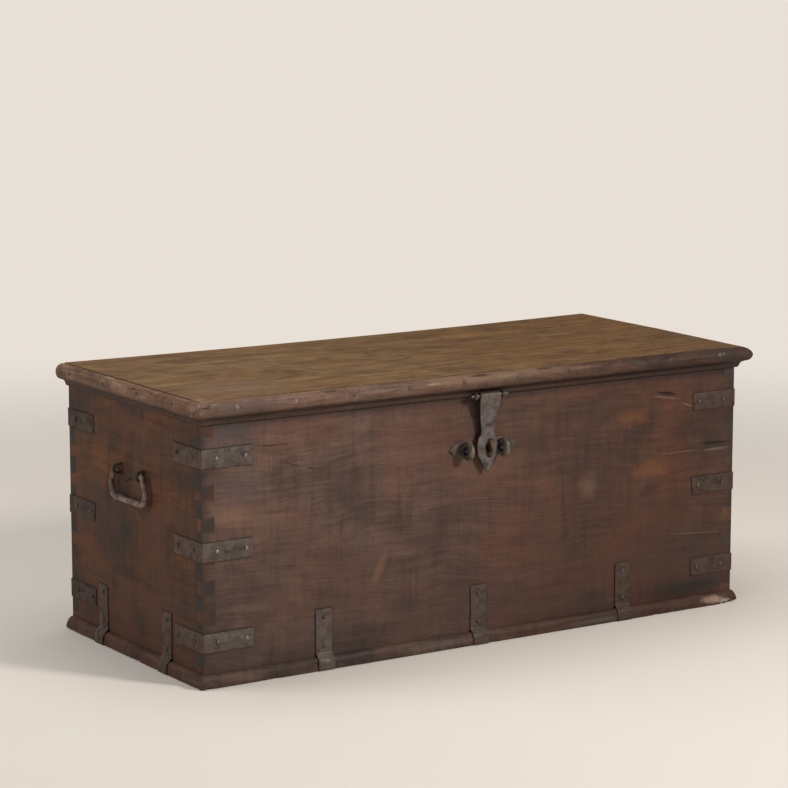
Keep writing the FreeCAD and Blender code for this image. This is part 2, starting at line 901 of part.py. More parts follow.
for side, (start_mitre, end_mitre) in LID_SIDES.items():
    x, y = corner_start(side)
    strip = moulding(f"lid_{side}_body", LID_CORNERS, LID_BULGES, wall_run(side),
                     mm.nose_proud, start_mitre, end_mitre)
    place(strip, x=x, y=y, turn=WALL_TURNS[side])
    tools = [lid_nail_set, hasp_staples] if side == "front" else [lid_nail_set]
    holes = group(f"lid_{side}_holes", tools)
    keep(cut(f"lid_{side}_cut", strip, holes), f"lid_moulding_{side}")

for number, label in enumerate(("front", "middle", "back")):
    board = box(f"lid_{label}_plank", lid_run, lid_span / LID_BOARDS, mm.lid_thick)
    front = -(half_depth + mm.lid_board_overhang)
    place(board, x=-lid_run / 2, y=front + lid_span / LID_BOARDS * number, z=mm.wall_height)
    holes = group(f"lid_{label}_holes", [lid_nail_set, under_nail_set])
    keep(cut(f"lid_{label}_cut", board, holes), f"lid_board_{label}")

for end, label in ((-1, "left"), (1, "right")):
    batten = box(f"batten_{label}", mm.batten_width, batten_span, mm.batten_thick)
    place(batten, x=batten_offset * end - mm.batten_width / 2, y=-batten_span / 2,
          z=mm.wall_height - mm.batten_thick)
    keep(cut(f"batten_{label}_cut", batten, under_nail_set), f"lid_batten_{label}")


# Lid hinges: two knuckles on the case leaf, one between them on the lid leaf

knuckle_width = (mm.leaf_width - mm.knuckle_gap * (KNUCKLES - 1)) / KNUCKLES
bore_radius = float(mm.pin_radius + mm.pin_slack)


def knuckle(left, y, z, outer, length, bore):
    """A barrel hammered to eight flats along X, with a bore for the pin."""
    start = V(left, y, z)
    barrel = forged_bar([start, start + X_DIR * length], Y_DIR, outer)
    return barrel.cut(Part.makeCylinder(bore, length, start, X_DIR))


def case_leaf(name, end):
    """The upright leaf on the outside of the back wall, with the outer knuckles."""
    left = float(hinge_offset * end - mm.leaf_width / 2)
    width = float(mm.leaf_width)
    barrel = float(knuckle_width)
    axis_y, axis_z = float(hinge_axis_y), float(hinge_axis_z)
    radius = float(mm.knuckle_radius)
    leaf = Part.makeBox(width, float(mm.leaf_thick), float(mm.case_leaf_length),
                        V(left, float(half_depth), axis_z - float(mm.case_leaf_length)))
    middle = left + barrel
    relief = Part.makeBox(width - 2 * barrel, radius * 2, radius + float(mm.knuckle_gap),
                          V(middle, float(half_depth), axis_z - radius - float(mm.knuckle_gap)))
    shape = leaf.cut(relief)
    bore = Part.makeCylinder(bore_radius, width, V(left, axis_y, axis_z), X_DIR)
    shape = shape.cut(bore)
    for start in (left, left + width - barrel):
        shape = shape.fuse(knuckle(start, axis_y, axis_z, radius, barrel, bore_radius))
    return solid_shape(name, shape.removeSplitter())


def lid_leaf(name, end):
    """The leaf under the lid boards, with the middle knuckle."""
    barrel = float(knuckle_width)
    middle = float(hinge_offset * end)
    axis_y, axis_z = float(hinge_axis_y), float(hinge_axis_z)
    radius = float(mm.knuckle_radius)
    width = float(mm.leaf_width)
    length = float(mm.lid_leaf_length)
    back = float(half_depth)
    leaf = Part.makeBox(width, length, float(mm.leaf_thick),
                        V(middle - width / 2, back - length, float(mm.wall_height - mm.leaf_thick)))
    neck = Part.makeBox(barrel, radius, float(mm.leaf_thick),
                        V(middle - barrel / 2, back, float(mm.wall_height - mm.leaf_thick)))
    roll = knuckle(middle - barrel / 2, axis_y, axis_z, radius, barrel, bore_radius)
    return solid_shape(name, leaf.fuse([neck, roll]).removeSplitter())


def hinge_pin(name, end):
    """A pin with a low hammered cap at each end."""
    left = float(hinge_offset * end - mm.leaf_width / 2)
    width = float(mm.leaf_width)
    cap = float(mm.hinge_pin_cap)
    axis_y, axis_z = float(hinge_axis_y), float(hinge_axis_z)
    shape = Part.makeCylinder(float(mm.pin_radius), width, V(left, axis_y, axis_z), X_DIR)
    for start in (left - cap, left + width):
        corner = V(start, axis_y, axis_z)
        disc = forged_bar([corner, corner + X_DIR * cap], Y_DIR, float(mm.hinge_pin_cap_radius))
        shape = shape.fuse(disc)
    return solid_shape(name, shape.removeSplitter())


for end, label in ((-1, "left"), (1, "right")):
    leaf = cut(f"case_leaf_{label}_cut", case_leaf(f"case_leaf_{label}", end), NAILS["back"])
    keep(leaf, f"hinge_leaf_case_{label}")
    leaf = cut(f"lid_leaf_{label}_cut", lid_leaf(f"lid_leaf_{label}", end), under_nail_set)
    keep(leaf, f"hinge_leaf_lid_{label}")
    keep(hinge_pin(f"pin_{label}", end), f"hinge_pin_{label}")


# Hasp: a forged leaf with a slot, rolled round a cross pin

def make_hasp():
    """The hasp. Its own origin is the middle of its pin."""
    radius = mm.hasp_knuckle_radius
    back = -radius
    half_top = mm.hasp_top_width / 2
    half_waist = mm.hasp_waist_width / 2
    half_leaf = mm.hasp_leaf_width / 2
    slot_middle = hasp_axis_height - eye_height
    body = new_body("hasp_body")
    face = new_sketch(body, "XZ_Plane", back)
    flank = (half_top + half_waist) / 2 - (half_top - half_waist) / 4
    flank_drop = (mm.hasp_shoulder_drop + mm.hasp_waist_drop) / 2
    draw_outline(face, [
        (-half_top, zero),
        (-half_top, -mm.hasp_shoulder_drop),
        (-half_waist, -mm.hasp_waist_drop),
        (zero, -mm.hasp_length),
        (half_waist, -mm.hasp_waist_drop),
        (half_top, -mm.hasp_shoulder_drop),
        (half_top, zero),
    ], {
        1: (-flank, -flank_drop),
        2: (-half_leaf, -slot_middle),
        3: (half_leaf, -slot_middle),
        4: (flank, -flank_drop),
    })
    pad(body, face, mm.hasp_thick)
    slot = new_sketch(body, "XZ_Plane")
    slot_left = mm.slot_shift - mm.slot_width / 2
    slot_right = mm.slot_shift + mm.slot_width / 2
    half_slot = mm.slot_width / 2
    straight = mm.slot_height / 2 - half_slot
    draw_outline(slot, [
        (slot_right, -slot_middle - straight),
        (slot_right, -slot_middle + straight),
        (slot_left, -slot_middle + straight),
        (slot_left, -slot_middle - straight),
    ], {
        1: (mm.slot_shift, -slot_middle + straight + half_slot),
        3: (mm.slot_shift, -slot_middle - straight - half_slot),
    })
    pocket(body, slot, (radius + cut_overrun) * 2)
    place(body, x=mm.hasp_shift, y=hasp_axis_y, z=hasp_axis_height)
    start = V(float(mm.hasp_shift - half_top), float(hasp_axis_y), float(hasp_axis_height))
    end = start + X_DIR * float(mm.hasp_top_width)
    roll = solid_shape("hasp_roll", forged_bar([start, end], Y_DIR, float(radius)))
    bore = doc.addObject("Part::Cylinder", "hasp_bore")
    bind(bore, Radius=mm.pin_radius + mm.pin_slack, Height=mm.hasp_top_width)
    place(bore, x=mm.hasp_shift - half_top, y=hasp_axis_y, z=hasp_axis_height)
    bore.Placement.Rotation = FreeCAD.Rotation(Y_DIR, 90)
    whole = doc.addObject("Part::Fuse", "hasp_whole")
    whole.Base = body
    whole.Tool = roll
    whole.Refine = True
    return cut("hasp_cut", whole, bore)


keep(make_hasp(), "hasp")
keep(hasp_staples, "hasp_staples")

hasp_pin = doc.addObject("Part::Cylinder", "hasp_cross_pin")
bind(hasp_pin, Radius=mm.pin_radius, Height=mm.hasp_pin_length)
place(hasp_pin, x=mm.hasp_shift - mm.hasp_pin_length / 2, y=hasp_axis_y, z=hasp_axis_height)
hasp_pin.Placement.Rotation = FreeCAD.Rotation(Y_DIR, 90)
keep(hasp_pin, "hasp_pin")


# Three eyes in a row, bored for one bar: two on the wall and one on the hasp between them

def bored_eye(name, root, neck, radius, thick, x):
    """A flat forged eye with its bore along X. Its root lies on a plane before the wall.

    root is how far the start of its neck stands out from the wall.
    """
    crown = eye_bore_proud + mm.eye_bore_radius + mm.eye_wall
    middle = crown - radius
    body = new_body(f"{name}_body")
    side = new_sketch(body, "YZ_Plane")
    draw_outline(side, [
        (-root, -neck / 2),
        (-root, neck / 2),
        (-middle, radius),
        (-middle - radius * DIAGONAL, radius * DIAGONAL),
        (-crown, zero),
        (-middle - radius * DIAGONAL, -radius * DIAGONAL),
        (-middle, -radius),
    ])
    pad(body, side, thick, both=True)
    place(body, x=x, y=-half_depth, z=eye_height)
    bore = doc.addObject("Part::Cylinder", f"{name}_bore")
    bind(bore, Radius=mm.eye_bore_radius, Height=thick)
    place(bore, x=x - thick / 2, y=-half_depth - eye_bore_proud, z=eye_height)
    bore.Placement.Rotation = FreeCAD.Rotation(Y_DIR, 90)
    return cut(f"{name}_cut", body, bore)


def fused(name, items):
    """One solid made of items that touch."""
    whole = doc.addObject("Part::MultiFuse", name)
    whole.Shapes = items
    whole.Refine = True
    return whole


def lock_eye(label):
    """An eye of the wall with its tang."""
    x = mm.hasp_shift + EYE_OFFSETS[label]
    eye = bored_eye(f"eye_{label}", zero, mm.eye_neck, mm.eye_radius, mm.eye_thick, x)
    tang = box(f"eye_{label}_tang", mm.eye_thick, mm.eye_tenon, mm.eye_neck)
    place(tang, x=x - mm.eye_thick / 2, y=-half_depth, z=eye_height - mm.eye_neck / 2)
    return fused(f"eye_{label}_whole", [eye, tang])


def hasp_eye():
    """The eye in the hasp's slot, held by a foot that laps the slot's edge behind."""
    x = mm.hasp_shift + mm.slot_shift
    root = hasp_front_proud - mm.hasp_thick
    eye = bored_eye("hasp_eye", root, mm.hasp_eye_neck, mm.hasp_eye_radius, mm.hasp_eye_thick, x)
    width = mm.slot_width + mm.hasp_eye_foot_lap * 2
    height = mm.slot_height + mm.hasp_eye_foot_lap * 2
    foot = box("hasp_eye_foot", width, mm.hasp_eye_foot_thick, height)
    place(foot, x=x - width / 2, y=-half_depth - root, z=eye_height - height / 2)
    return fused("hasp_eye_whole", [eye, foot])


EYES = {label: lock_eye(label) for label in EYE_OFFSETS}
for label, eye in EYES.items():
    keep(eye, f"lock_eye_{label}")
keep(hasp_eye(), "hasp_eye")


def lock_plate(label, outward):
    """A leaf-shaped plate under a lock eye, its point turned away from the hasp."""
    body = new_body(f"lock_plate_{label}_body")
    face = new_sketch(body, "XZ_Plane")
    radius = mm.lock_plate_round
    point = mm.lock_plate_point * outward
    inner = -radius * outward
    belly_share, swell_share = PLATE_BELLY_SHARES
    belly = point * belly_share
    swell = radius * swell_share
    draw_outline(face, [
        (zero, radius),
        (belly, swell),
        (point, zero),
        (belly, -swell),
        (zero, -radius),
        (inner * DIAGONAL, -radius * DIAGONAL),
        (inner, zero),
        (inner * DIAGONAL, radius * DIAGONAL),
    ])
    pad(body, face, mm.lock_plate_thick)
    place(body, x=mm.hasp_shift + EYE_OFFSETS[label], y=-half_depth, z=eye_height)
    return cut(f"lock_plate_{label}_cut", body, EYES[label])


for label, outward in (("left", -1), ("right", 1)):
    keep(lock_plate(label, outward), f"lock_plate_{label}")


# Bail handles, each hung in two staples

def bail(name, side):
    """A drop handle of forged bar. Its two ends lie along the line it swings on."""
    points = [
        (float(mm.handle_end_half), 0.0),
        (float(mm.handle_shoulder_half), 0.0),
        (float(mm.handle_wide_half), -float(mm.handle_wide_drop)),
        (float(mm.handle_foot_half), -float(mm.handle_drop)),
    ]
    mirrored = [(-across, up) for across, up in reversed(points)]
    corners = [V(0, across, up) for across, up in points + mirrored]
    path = bent_path(corners, float(mm.handle_bend))
    item = solid_shape(name, forged_bar(path, X_DIR, float(mm.handle_bar_radius)))
    return place(item, x=handle_axis_x(side), z=handle_height)


for side in ("left", "right"):
    keep(bail(f"bail_{side}", side), f"handle_{side}")
    keep(HANDLE_STAPLES[side], f"handle_staples_{side}")


# Checks and export

doc.recompute()
for item in doc.Objects:
    if "Invalid" in item.State or "Error" in item.State:
        raise RuntimeError(f"{item.Label} did not build: {item.State}")
for piece in pieces:
    shape = piece.Shape
    if shape.isNull() or not shape.isValid():
        raise RuntimeError(f"{piece.Label} has no valid shape")
    shape.exportStep(f"parts/{piece.Label}.step")
print(f"{len(pieces)} sub-parts written")
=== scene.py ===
"""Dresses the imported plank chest: worn boards, rounded mouldings, forged ironwork and studio.

Metres. X runs along the chest (left end at -X), the front faces -Y and Z is up. Node trees and
finishes come first, then mesh helpers, then a class for each sub-assembly and the studio.
"""

import logging
import math
import random
from dataclasses import dataclass, field
from enum import Enum
from typing import Callable, Iterable, Optional, Sequence, Union

import bmesh
import bpy
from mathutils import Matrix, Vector, noise


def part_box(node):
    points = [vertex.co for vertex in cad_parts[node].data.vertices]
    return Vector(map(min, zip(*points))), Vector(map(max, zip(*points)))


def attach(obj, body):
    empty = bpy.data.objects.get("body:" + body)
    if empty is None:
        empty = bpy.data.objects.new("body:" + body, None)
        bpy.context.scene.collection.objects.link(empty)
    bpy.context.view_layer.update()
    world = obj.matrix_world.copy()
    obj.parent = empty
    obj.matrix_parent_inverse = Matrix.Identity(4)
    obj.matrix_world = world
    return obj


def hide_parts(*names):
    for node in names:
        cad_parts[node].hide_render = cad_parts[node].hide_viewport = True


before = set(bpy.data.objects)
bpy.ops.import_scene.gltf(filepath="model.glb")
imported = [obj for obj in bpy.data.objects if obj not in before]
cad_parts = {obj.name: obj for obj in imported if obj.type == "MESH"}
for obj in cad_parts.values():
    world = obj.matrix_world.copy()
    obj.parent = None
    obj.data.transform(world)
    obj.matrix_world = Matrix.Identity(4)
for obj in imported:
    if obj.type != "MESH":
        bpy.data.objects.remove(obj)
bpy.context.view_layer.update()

logging.basicConfig(level=logging.INFO, format="%(message)s")
LOG = logging.getLogger("chest")

MM = 0.001
HAMMER_FINENESS = 140.0
DENT_FINENESS = 120.0
DOME_TURNS = (0.15, 0.6, 1.1)
Point = tuple[float, float, float]
Flat = tuple[float, float]
Hue = tuple[int, int, int]
Socket = bpy.types.NodeSocket
Material = bpy.types.Material
Piece = bpy.types.Object
Feed = Union[float, int, Sequence[float], Socket]
WHITE: Hue = (255, 255, 255)
ALONG, DEEP, UP = Vector((1, 0, 0)), Vector((0, 1, 0)), Vector((0, 0, 1))


class Grain(Enum):
    """The way that a board's grain runs, with the axes across it on its broad face and through it."""

    WALL_LONG = ("X", "Z", "Y")
    WALL_END = ("Y", "Z", "X")
    FLAT_LONG = ("X", "Y", "Z")
    FLAT_DEEP = ("Y", "X", "Z")


class Side(Enum):
    """A side of the chest, with its outward direction and its direction of run."""

    FRONT = ((0.0, -1.0, 0.0), (1.0, 0.0, 0.0))
    RIGHT = ((1.0, 0.0, 0.0), (0.0, 1.0, 0.0))
    BACK = ((0.0, 1.0, 0.0), (-1.0, 0.0, 0.0))
    LEFT = ((-1.0, 0.0, 0.0), (0.0, -1.0, 0.0))

    @property
    def out(self) -> Vector:
        """The outward direction."""
        return Vector(self.value[0])

    @property
    def run(self) -> Vector:
        """The direction along the side, to the right as seen from outside."""
        return Vector(self.value[1])


# Sizes that the sub-assemblies share, as the solids have them


@dataclass(frozen=True)
class ChestSizes:
    """The main sizes of the case and lid."""

    half_length: float = 0.576
    half_depth: float = 0.248
    wall_height: float = 0.474
    lid_thick: float = 0.024
    lid_overhang: float = 0.009
    strap_heights: tuple[float, ...] = (0.078, 0.236, 0.397)
    strap_width: float = 0.033
    front_spots: tuple[float, ...] = (-0.337, -0.011, 0.315)
    end_spots: tuple[float, ...] = (-0.12, 0.12)
    hasp_axis_y: float = -0.2655
    hasp_axis_z: float = 0.457
    eye_z: float = 0.36
    handle_axis_x: float = 0.5855
    handle_z: float = 0.335

    def reach(self, side: Side) -> float:
        """How far a wall's outer face stands from the middle of the chest."""
        return self.half_depth if side in (Side.FRONT, Side.BACK) else self.half_length

    def half_run(self, side: Side) -> float:
        """Half the length of a wall."""
        return self.half_length if side in (Side.FRONT, Side.BACK) else self.half_depth


SIZES = ChestSizes()


# Node trees


def linear(hue: Sequence[int]) -> tuple[float, float, float, float]:
    """Turns a colour of three whole numbers up to 255 into the linear values that a shader takes."""
    parts = [part / 255 for part in hue]
    made = [part / 12.92 if part <= 0.04045 else ((part + 0.055) / 1.055) ** 2.4 for part in parts]
    return made[0], made[1], made[2], 1.0


class Tree:
    """A node tree, written as plain calls."""

    def __init__(self, tree: bpy.types.NodeTree) -> None:
        """Takes a tree over.

        Args:
            tree: The tree, whose nodes go.
        """
        self.tree = tree
        self.tree.nodes.clear()

    def add(self, kind: str, **settings: object) -> bpy.types.Node:
        """Adds a node with some of its settings."""
        node = self.tree.nodes.new(kind)
        for key, value in settings.items():
            setattr(node, key, value)
        return node

    def feed(self, socket: Socket, value: Feed) -> None:
        """Links a socket to another, or gives it a plain value."""
        if isinstance(value, bpy.types.NodeSocket):
            self.tree.links.new(value, socket)
        else:
            socket.default_value = value

    def fed(self, kind: str, *values: Feed, **settings: object) -> bpy.types.Node:
        """Adds a node and feeds its first sockets in their order."""
        node = self.add(kind, **settings)
        for socket, value in zip(node.inputs, values):
            self.feed(socket, value)
        return node

    def named(self, kind: str, values: dict[str, Feed], **settings: object) -> bpy.types.Node:
        """Adds a node and feeds its sockets by name."""
        node = self.add(kind, **settings)
        for name, value in values.items():
            self.feed(node.inputs[name], value)
        return node

    def math(self, operation: str, first: Feed, second: Feed = 0.0) -> Socket:
        """One step of arithmetic."""
        return self.fed("ShaderNodeMath", first, second, operation=operation).outputs[0]

    def plus(self, first: Feed, second: Feed) -> Socket:
        """A sum."""
        return self.math("ADD", first, second)

    def less(self, first: Feed, second: Feed) -> Socket:
        """A difference."""
        return self.math("SUBTRACT", first, second)

    def times(self, first: Feed, second: Feed) -> Socket:
        """A product."""
        return self.math("MULTIPLY", first, second)

    def total(self, *parts: tuple[Socket, float]) -> Socket:
        """The sum of some numbers, each taken by its share."""
        scaled = [self.times(part, share) for part, share in parts]
        whole = scaled[0]
        for part in scaled[1:]:
            whole = self.plus(whole, part)
        return whole

    def vector(self, operation: str, first: Feed, second: Feed = (0.0, 0.0, 0.0)) -> Socket:
        """One step of vector arithmetic."""
        node = self.fed("ShaderNodeVectorMath", first, second, operation=operation)
        return node.outputs["Value" if operation == "LENGTH" else "Vector"]

    def split(self, vector: Socket) -> dict[str, Socket]:
        """The three parts of a vector by their letters."""
        node = self.fed("ShaderNodeSeparateXYZ", vector)
        return {letter: node.outputs[letter] for letter in "XYZ"}

    def join(self, x: Feed, y: Feed, z: Feed) -> Socket:
        """A vector from three parts."""
        return self.fed("ShaderNodeCombineXYZ", x, y, z).outputs[0]

    def noise(self, vector: Socket, scale: Union[float, Sequence[float]], detail: float = 3.0,
              rough: float = 0.55, bend: float = 0.0) -> Socket:
        """Noise about one half, with one scale or one for each axis, per metre."""
        scales = (scale,) * 3 if isinstance(scale, float) else tuple(scale)
        return self.named("ShaderNodeTexNoise", {
            "Vector": self.vector("MULTIPLY", vector, scales),
            "Scale": 1.0,
            "Detail": detail,
            "Roughness": rough,
            "Distortion": bend,
        }).outputs[0]

    def between(self, value: Feed, low: float, high: float, start: float = 0.0,
                end: float = 1.0) -> Socket:
        """A smooth step from start to end as a value goes from low to high."""
        return self.fed("ShaderNodeMapRange", value, low, high, start, end,
                        interpolation_type="SMOOTHSTEP").outputs[0]

    def mix(self, share: Feed, first: Feed, second: Feed, blend: str = "MIX") -> Socket:
        """Mixes two colours."""
        node = self.add("ShaderNodeMix", data_type="RGBA", blend_type=blend)
        for number, value in ((0, share), (6, first), (7, second)):
            self.feed(node.inputs[number], value)
        return node.outputs[2]

    def tint(self, share: Feed, colour: Socket, hue: Hue) -> Socket:
        """Mixes a written colour in."""
        return self.mix(share, colour, linear(hue))

    def multiply_hue(self, share: Feed, colour: Socket, hue: Hue) -> Socket:
        """Mixes in the colour multiplied by a written one."""
        return self.mix(share, colour, self.mix(1.0, colour, linear(hue), "MULTIPLY"))

    def ramp(self, value: Socket, stops: Sequence[tuple[float, Hue]]) -> Socket:
        """A colour ramp with written colours."""
        node = self.fed("ShaderNodeValToRGB", value)
        band = node.color_ramp
        while len(band.elements) < len(stops):
            band.elements.new(0.5)
        for element, (place, hue) in zip(band.elements, stops):
            element.position = place
            element.color = linear(hue)
        return node.outputs[0]

    def bump(self, height: Socket, depth: float, under: Optional[Socket] = None) -> Socket:
        """A bumped normal.

        Args:
            height: Heights from zero to one.
            depth: What one stands for, in metres.
            under: A normal that this one goes over.

        Returns:
            The normal.
        """
        values: dict[str, Feed] = {"Strength": 1.0, "Distance": depth, "Height": height}
        if under is not None:
            values["Normal"] = under
        return self.named("ShaderNodeBump", values).outputs[0]


class Shader(Tree):
    """A material with its node tree."""

    def __init__(self, name: str) -> None:
        """Starts an empty material.

        Args:
            name: The material's name.
        """
        self.material = bpy.data.materials.new(name)
        self.material.use_nodes = True
        super().__init__(self.material.node_tree)

    def surface(self, colour: Socket, rough: Feed, normal: Socket, metal: float = 0.0,
                gloss: float = 0.5) -> Socket:
        """The surface shader's output."""
        return self.named("ShaderNodeBsdfPrincipled", {
            "Base Color": colour,
            "Roughness": rough,
            "Normal": normal,
            "Metallic": metal,
            "Specular IOR Level": gloss,
        }).outputs[0]

    def closed(self, surface: Socket) -> Material:
        """Closes the tree with a surface and gives the material."""
        self.fed("ShaderNodeOutputMaterial", surface)
        return self.material


# Finishes


@dataclass(frozen=True)
class Mark:
    """A stain, scar, crack or painted shadow on a board's broad face.

    at, size and tilt are along and across the grain, in metres and degrees. sunk is how
    deep it lies, in metres.
    """

    at: Flat
    size: Flat
    hue: Hue
    strength: float = 0.6
    tilt: float = 0.0
    ragged: float = 0.5
    soft: float = 0.7
    sunk: float = 0.0


@dataclass(frozen=True)
class Knot:
    """A knot that the grain runs round: its centre, its reach and its share of dark heart."""

    at: Flat
    reach: float
    heart: float = 0.2


RUB_SCALES = {"Z": (60.0, 60.0, 7.0), "X": (6.0, 70.0, 70.0)}
WOOD_STOPS = (0.41, 0.50, 0.59)
IRON_STOPS = (0.32, 0.46, 0.66)


@dataclass(frozen=True)
class WoodFinish:
    """Old oiled teak: streaked grain, stains, dirt and wear, with some painted shade, all procedural.

    far is the colour multiplied into the right end as painted shade, over a span along the chest.
    Below a set height the wood takes painted shade, as under the lid's nose. A halo is painted shade
    and dirt round a strap: its middle and half size, along and up. A row of dirt is an axis and the
    distances from the middle between which it sets in.
    """

    name: str
    grain: Grain
    dark: Hue
    middle: Hue
    light: Hue
    far: Hue = WHITE
    right_shade_span: Flat = (-0.3, 0.5)
    soot: Hue = (46, 37, 33)
    end_grain: Hue = (56, 46, 42)
    red: Hue = (112, 72, 53)
    shade: Hue = (36, 27, 23)
    halo_shade_and_dirt_hue: Hue = (34, 26, 22)
    halo_width: float = 0.006
    streak: float = 120.0
    blotch: float = 16.0
    drift: float = 0.09
    knot_squash: float = 0.62
    rubs: float = 0.35
    rub_way: str = "Z"
    stains: float = 0.45
    low_dark: float = 0.0
    low_height: float = 0.34
    # Height below which the wood takes painted shade; zero for none.
    shaded_below: float = 0.0
    gloss: float = 0.22
    rough: float = 0.62
    relief: float = 0.0005
    knots: tuple[Knot, ...] = ()
    marks: tuple[Mark, ...] = ()
    halos: tuple[tuple[float, float, float, float], ...] = ()
    dirt: tuple[tuple[str, float, float], ...] = ()

    def mark_mask(self, shader: Shader, plane: Socket, ragged: Socket, mark: Mark) -> Socket:
        """How much of a mark lies at each point."""
        placed = shader.named("ShaderNodeMapping", {
            "Vector": plane,
            "Location": (*mark.at, 0.0),
            "Rotation": (0.0, 0.0, math.radians(mark.tilt)),
            "Scale": (*mark.size, 1.0),
        }, vector_type="TEXTURE")
        away = shader.vector("LENGTH", placed.outputs[0])
        away = shader.plus(away, shader.times(ragged, mark.ragged))
        return shader.between(away, 1.0 - mark.soft, 1.0, mark.strength, 0.0)

    def round_knots(self, shader: Shader, plane: Socket,
                    line: Socket) -> tuple[Socket, Optional[Socket]]:
        """Bends the grain round the knots.

        Args:
            shader: The material.
            plane: Where a point lies on the broad face.
            line: Where it lies across the grain.

        Returns:
            The bent line, and how much dark heart lies at each point if there are knots.
        """
        hearts: Optional[Socket] = None
        for knot in self.knots:
            away = shader.vector("SUBTRACT", plane, (*knot.at, 0.0))
            away = shader.vector("LENGTH", shader.vector("MULTIPLY", away, (self.knot_squash, 1.0, 1.0)))
            near = shader.between(away, knot.reach * 0.1, knot.reach, 1.0, 0.0)
            swing = shader.less(shader.plus(away, knot.at[1]), line)
            line = shader.plus(line, shader.times(swing, near))
            core = knot.reach * knot.heart
            heart = shader.between(away, core * 0.4, core, 0.8, 0.0)
            hearts = heart if hearts is None else shader.math("MAXIMUM", hearts, heart)
        return line, hearts

    def build(self) -> Material:
        """Makes the material."""
        shader = Shader(self.name)
        coords = shader.add("ShaderNodeTexCoord").outputs
        place = coords["Object"]
        parts = shader.split(place)
        along, across, through = (parts[axis] for axis in self.grain.value)
        plane = shader.join(along, across, 0.0)
        drift = shader.times(shader.less(shader.noise(place, 2.3, 2.0), 0.5), self.drift)
        line, hearts = self.round_knots(shader, plane, shader.plus(across, drift))
        wood = shader.join(along, line, through)
        rub_scale = RUB_SCALES[self.rub_way]
        streaks = shader.noise(wood, (5.0, self.streak, self.streak), 5.0, 0.66, 0.5)
        fibres = shader.noise(wood, (26.0, 640.0, 640.0), 3.0, 0.7)
        blotches = shader.noise(wood, (self.blotch * 0.56, self.blotch, self.blotch), 5.0, 0.62, 0.8)
        broad = shader.noise(place, (4.2, 4.2, 5.0), 4.0, 0.58, 0.6)
        runs = shader.noise(place, rub_scale, 4.0, 0.66, 0.4)
        weave = shader.noise(place, tuple(size * 8 for size in rub_scale), 2.0, 0.6)
        ragged = shader.less(shader.noise(place, 60.0, 4.0, 0.65), 0.5)
        lively = shader.total((streaks, 0.24), (blotches, 0.38), (runs, 0.28), (fibres, 0.1))
        colour = shader.ramp(lively, list(zip(WOOD_STOPS, (self.dark, self.middle, self.light))))
        ruddy = shader.between(broad, 0.46, 0.66, 0.0, 0.55)
        colour = shader.mix(ruddy, colour, shader.tint(0.5, colour, self.red))
        # Painted shade towards the right end: the far colour is multiplied in.
        if self.far != WHITE:
            shift = shader.plus(along, shader.times(blotches, 0.2))
            colour = shader.multiply_hue(shader.between(shift, *self.right_shade_span), colour, self.far)
        stains = [
            shader.between(runs, 0.5, 0.72, 0.0, self.stains * self.rubs * 2),
            shader.between(broad, 0.5, 0.3, 0.0, self.stains),
            shader.between(fibres, 0.3, 0.54, 0.3, 0.0),
            shader.between(weave, 0.34, 0.6, 0.13, 0.0),
        ]
        # Darker towards the bottom of the wall.
        if self.low_dark:
            stains.append(shader.between(parts["Z"], 0.0, self.low_height, self.low_dark, 0.0))
        for stain in stains:
            colour = shader.tint(stain, colour, self.soot)
        # Painted shade on the nose's underside and the lip below it.
        if self.shaded_below:
            top = shader.between(parts["Z"], self.shaded_below - 0.005, self.shaded_below + 0.004)
            colour = shader.mix(top, shader.tint(0.72, colour, self.shade), colour)
        # Painted shade and dirt round each strap.
        for x, z, half_x, half_z in self.halos:
            beside = shader.less(shader.math("ABSOLUTE", shader.less(along, x)), half_x)
            above = shader.less(shader.math("ABSOLUTE", shader.less(parts["Z"], z)), half_z)
            beyond = shader.math("MAXIMUM", beside, above)
            beyond = shader.plus(beyond, shader.times(ragged, self.halo_width))
            colour = shader.tint(shader.between(beyond, 0.0, self.halo_width, 0.6, 0.0), colour,
                                 self.halo_shade_and_dirt_hue)
        deep = []
        for mark in self.marks:
            mask = self.mark_mask(shader, plane, ragged, mark)
            colour = shader.tint(mask, colour, mark.hue)
            if mark.sunk:
                deep.append((mask, mark.sunk))
        if hearts is not None:
            colour = shader.tint(hearts, colour, self.soot)
        for axis, low_edge, high_edge in self.dirt:
            spread = shader.plus(shader.math("ABSOLUTE", parts[axis]), shader.times(ragged, 0.012))
            dirty = shader.between(spread, low_edge, high_edge, 0.0, 0.75)
            colour = shader.tint(dirty, colour, self.soot)
        end = shader.math("ABSOLUTE", shader.split(coords["Normal"])[self.grain.value[0]])
        patchy = shader.between(shader.noise(place, 30.0, 3.0), 0.38, 0.6, 0.3, 0.95)
        end = shader.times(shader.between(end, 0.6, 0.8), patchy)
        colour = shader.tint(end, colour, self.end_grain)
        height = shader.plus(shader.plus(shader.times(fibres, 0.7), streaks), shader.times(weave, 0.3))
        normal = shader.bump(height, self.relief)
        if deep:
            normal = shader.bump(shader.times(shader.total(*deep), -1.0), 1.0, normal)
        rough = shader.between(blotches, 0.3, 0.7, self.rough - 0.07, self.rough + 0.1)
        return shader.closed(shader.surface(colour, rough, normal, gloss=self.gloss))


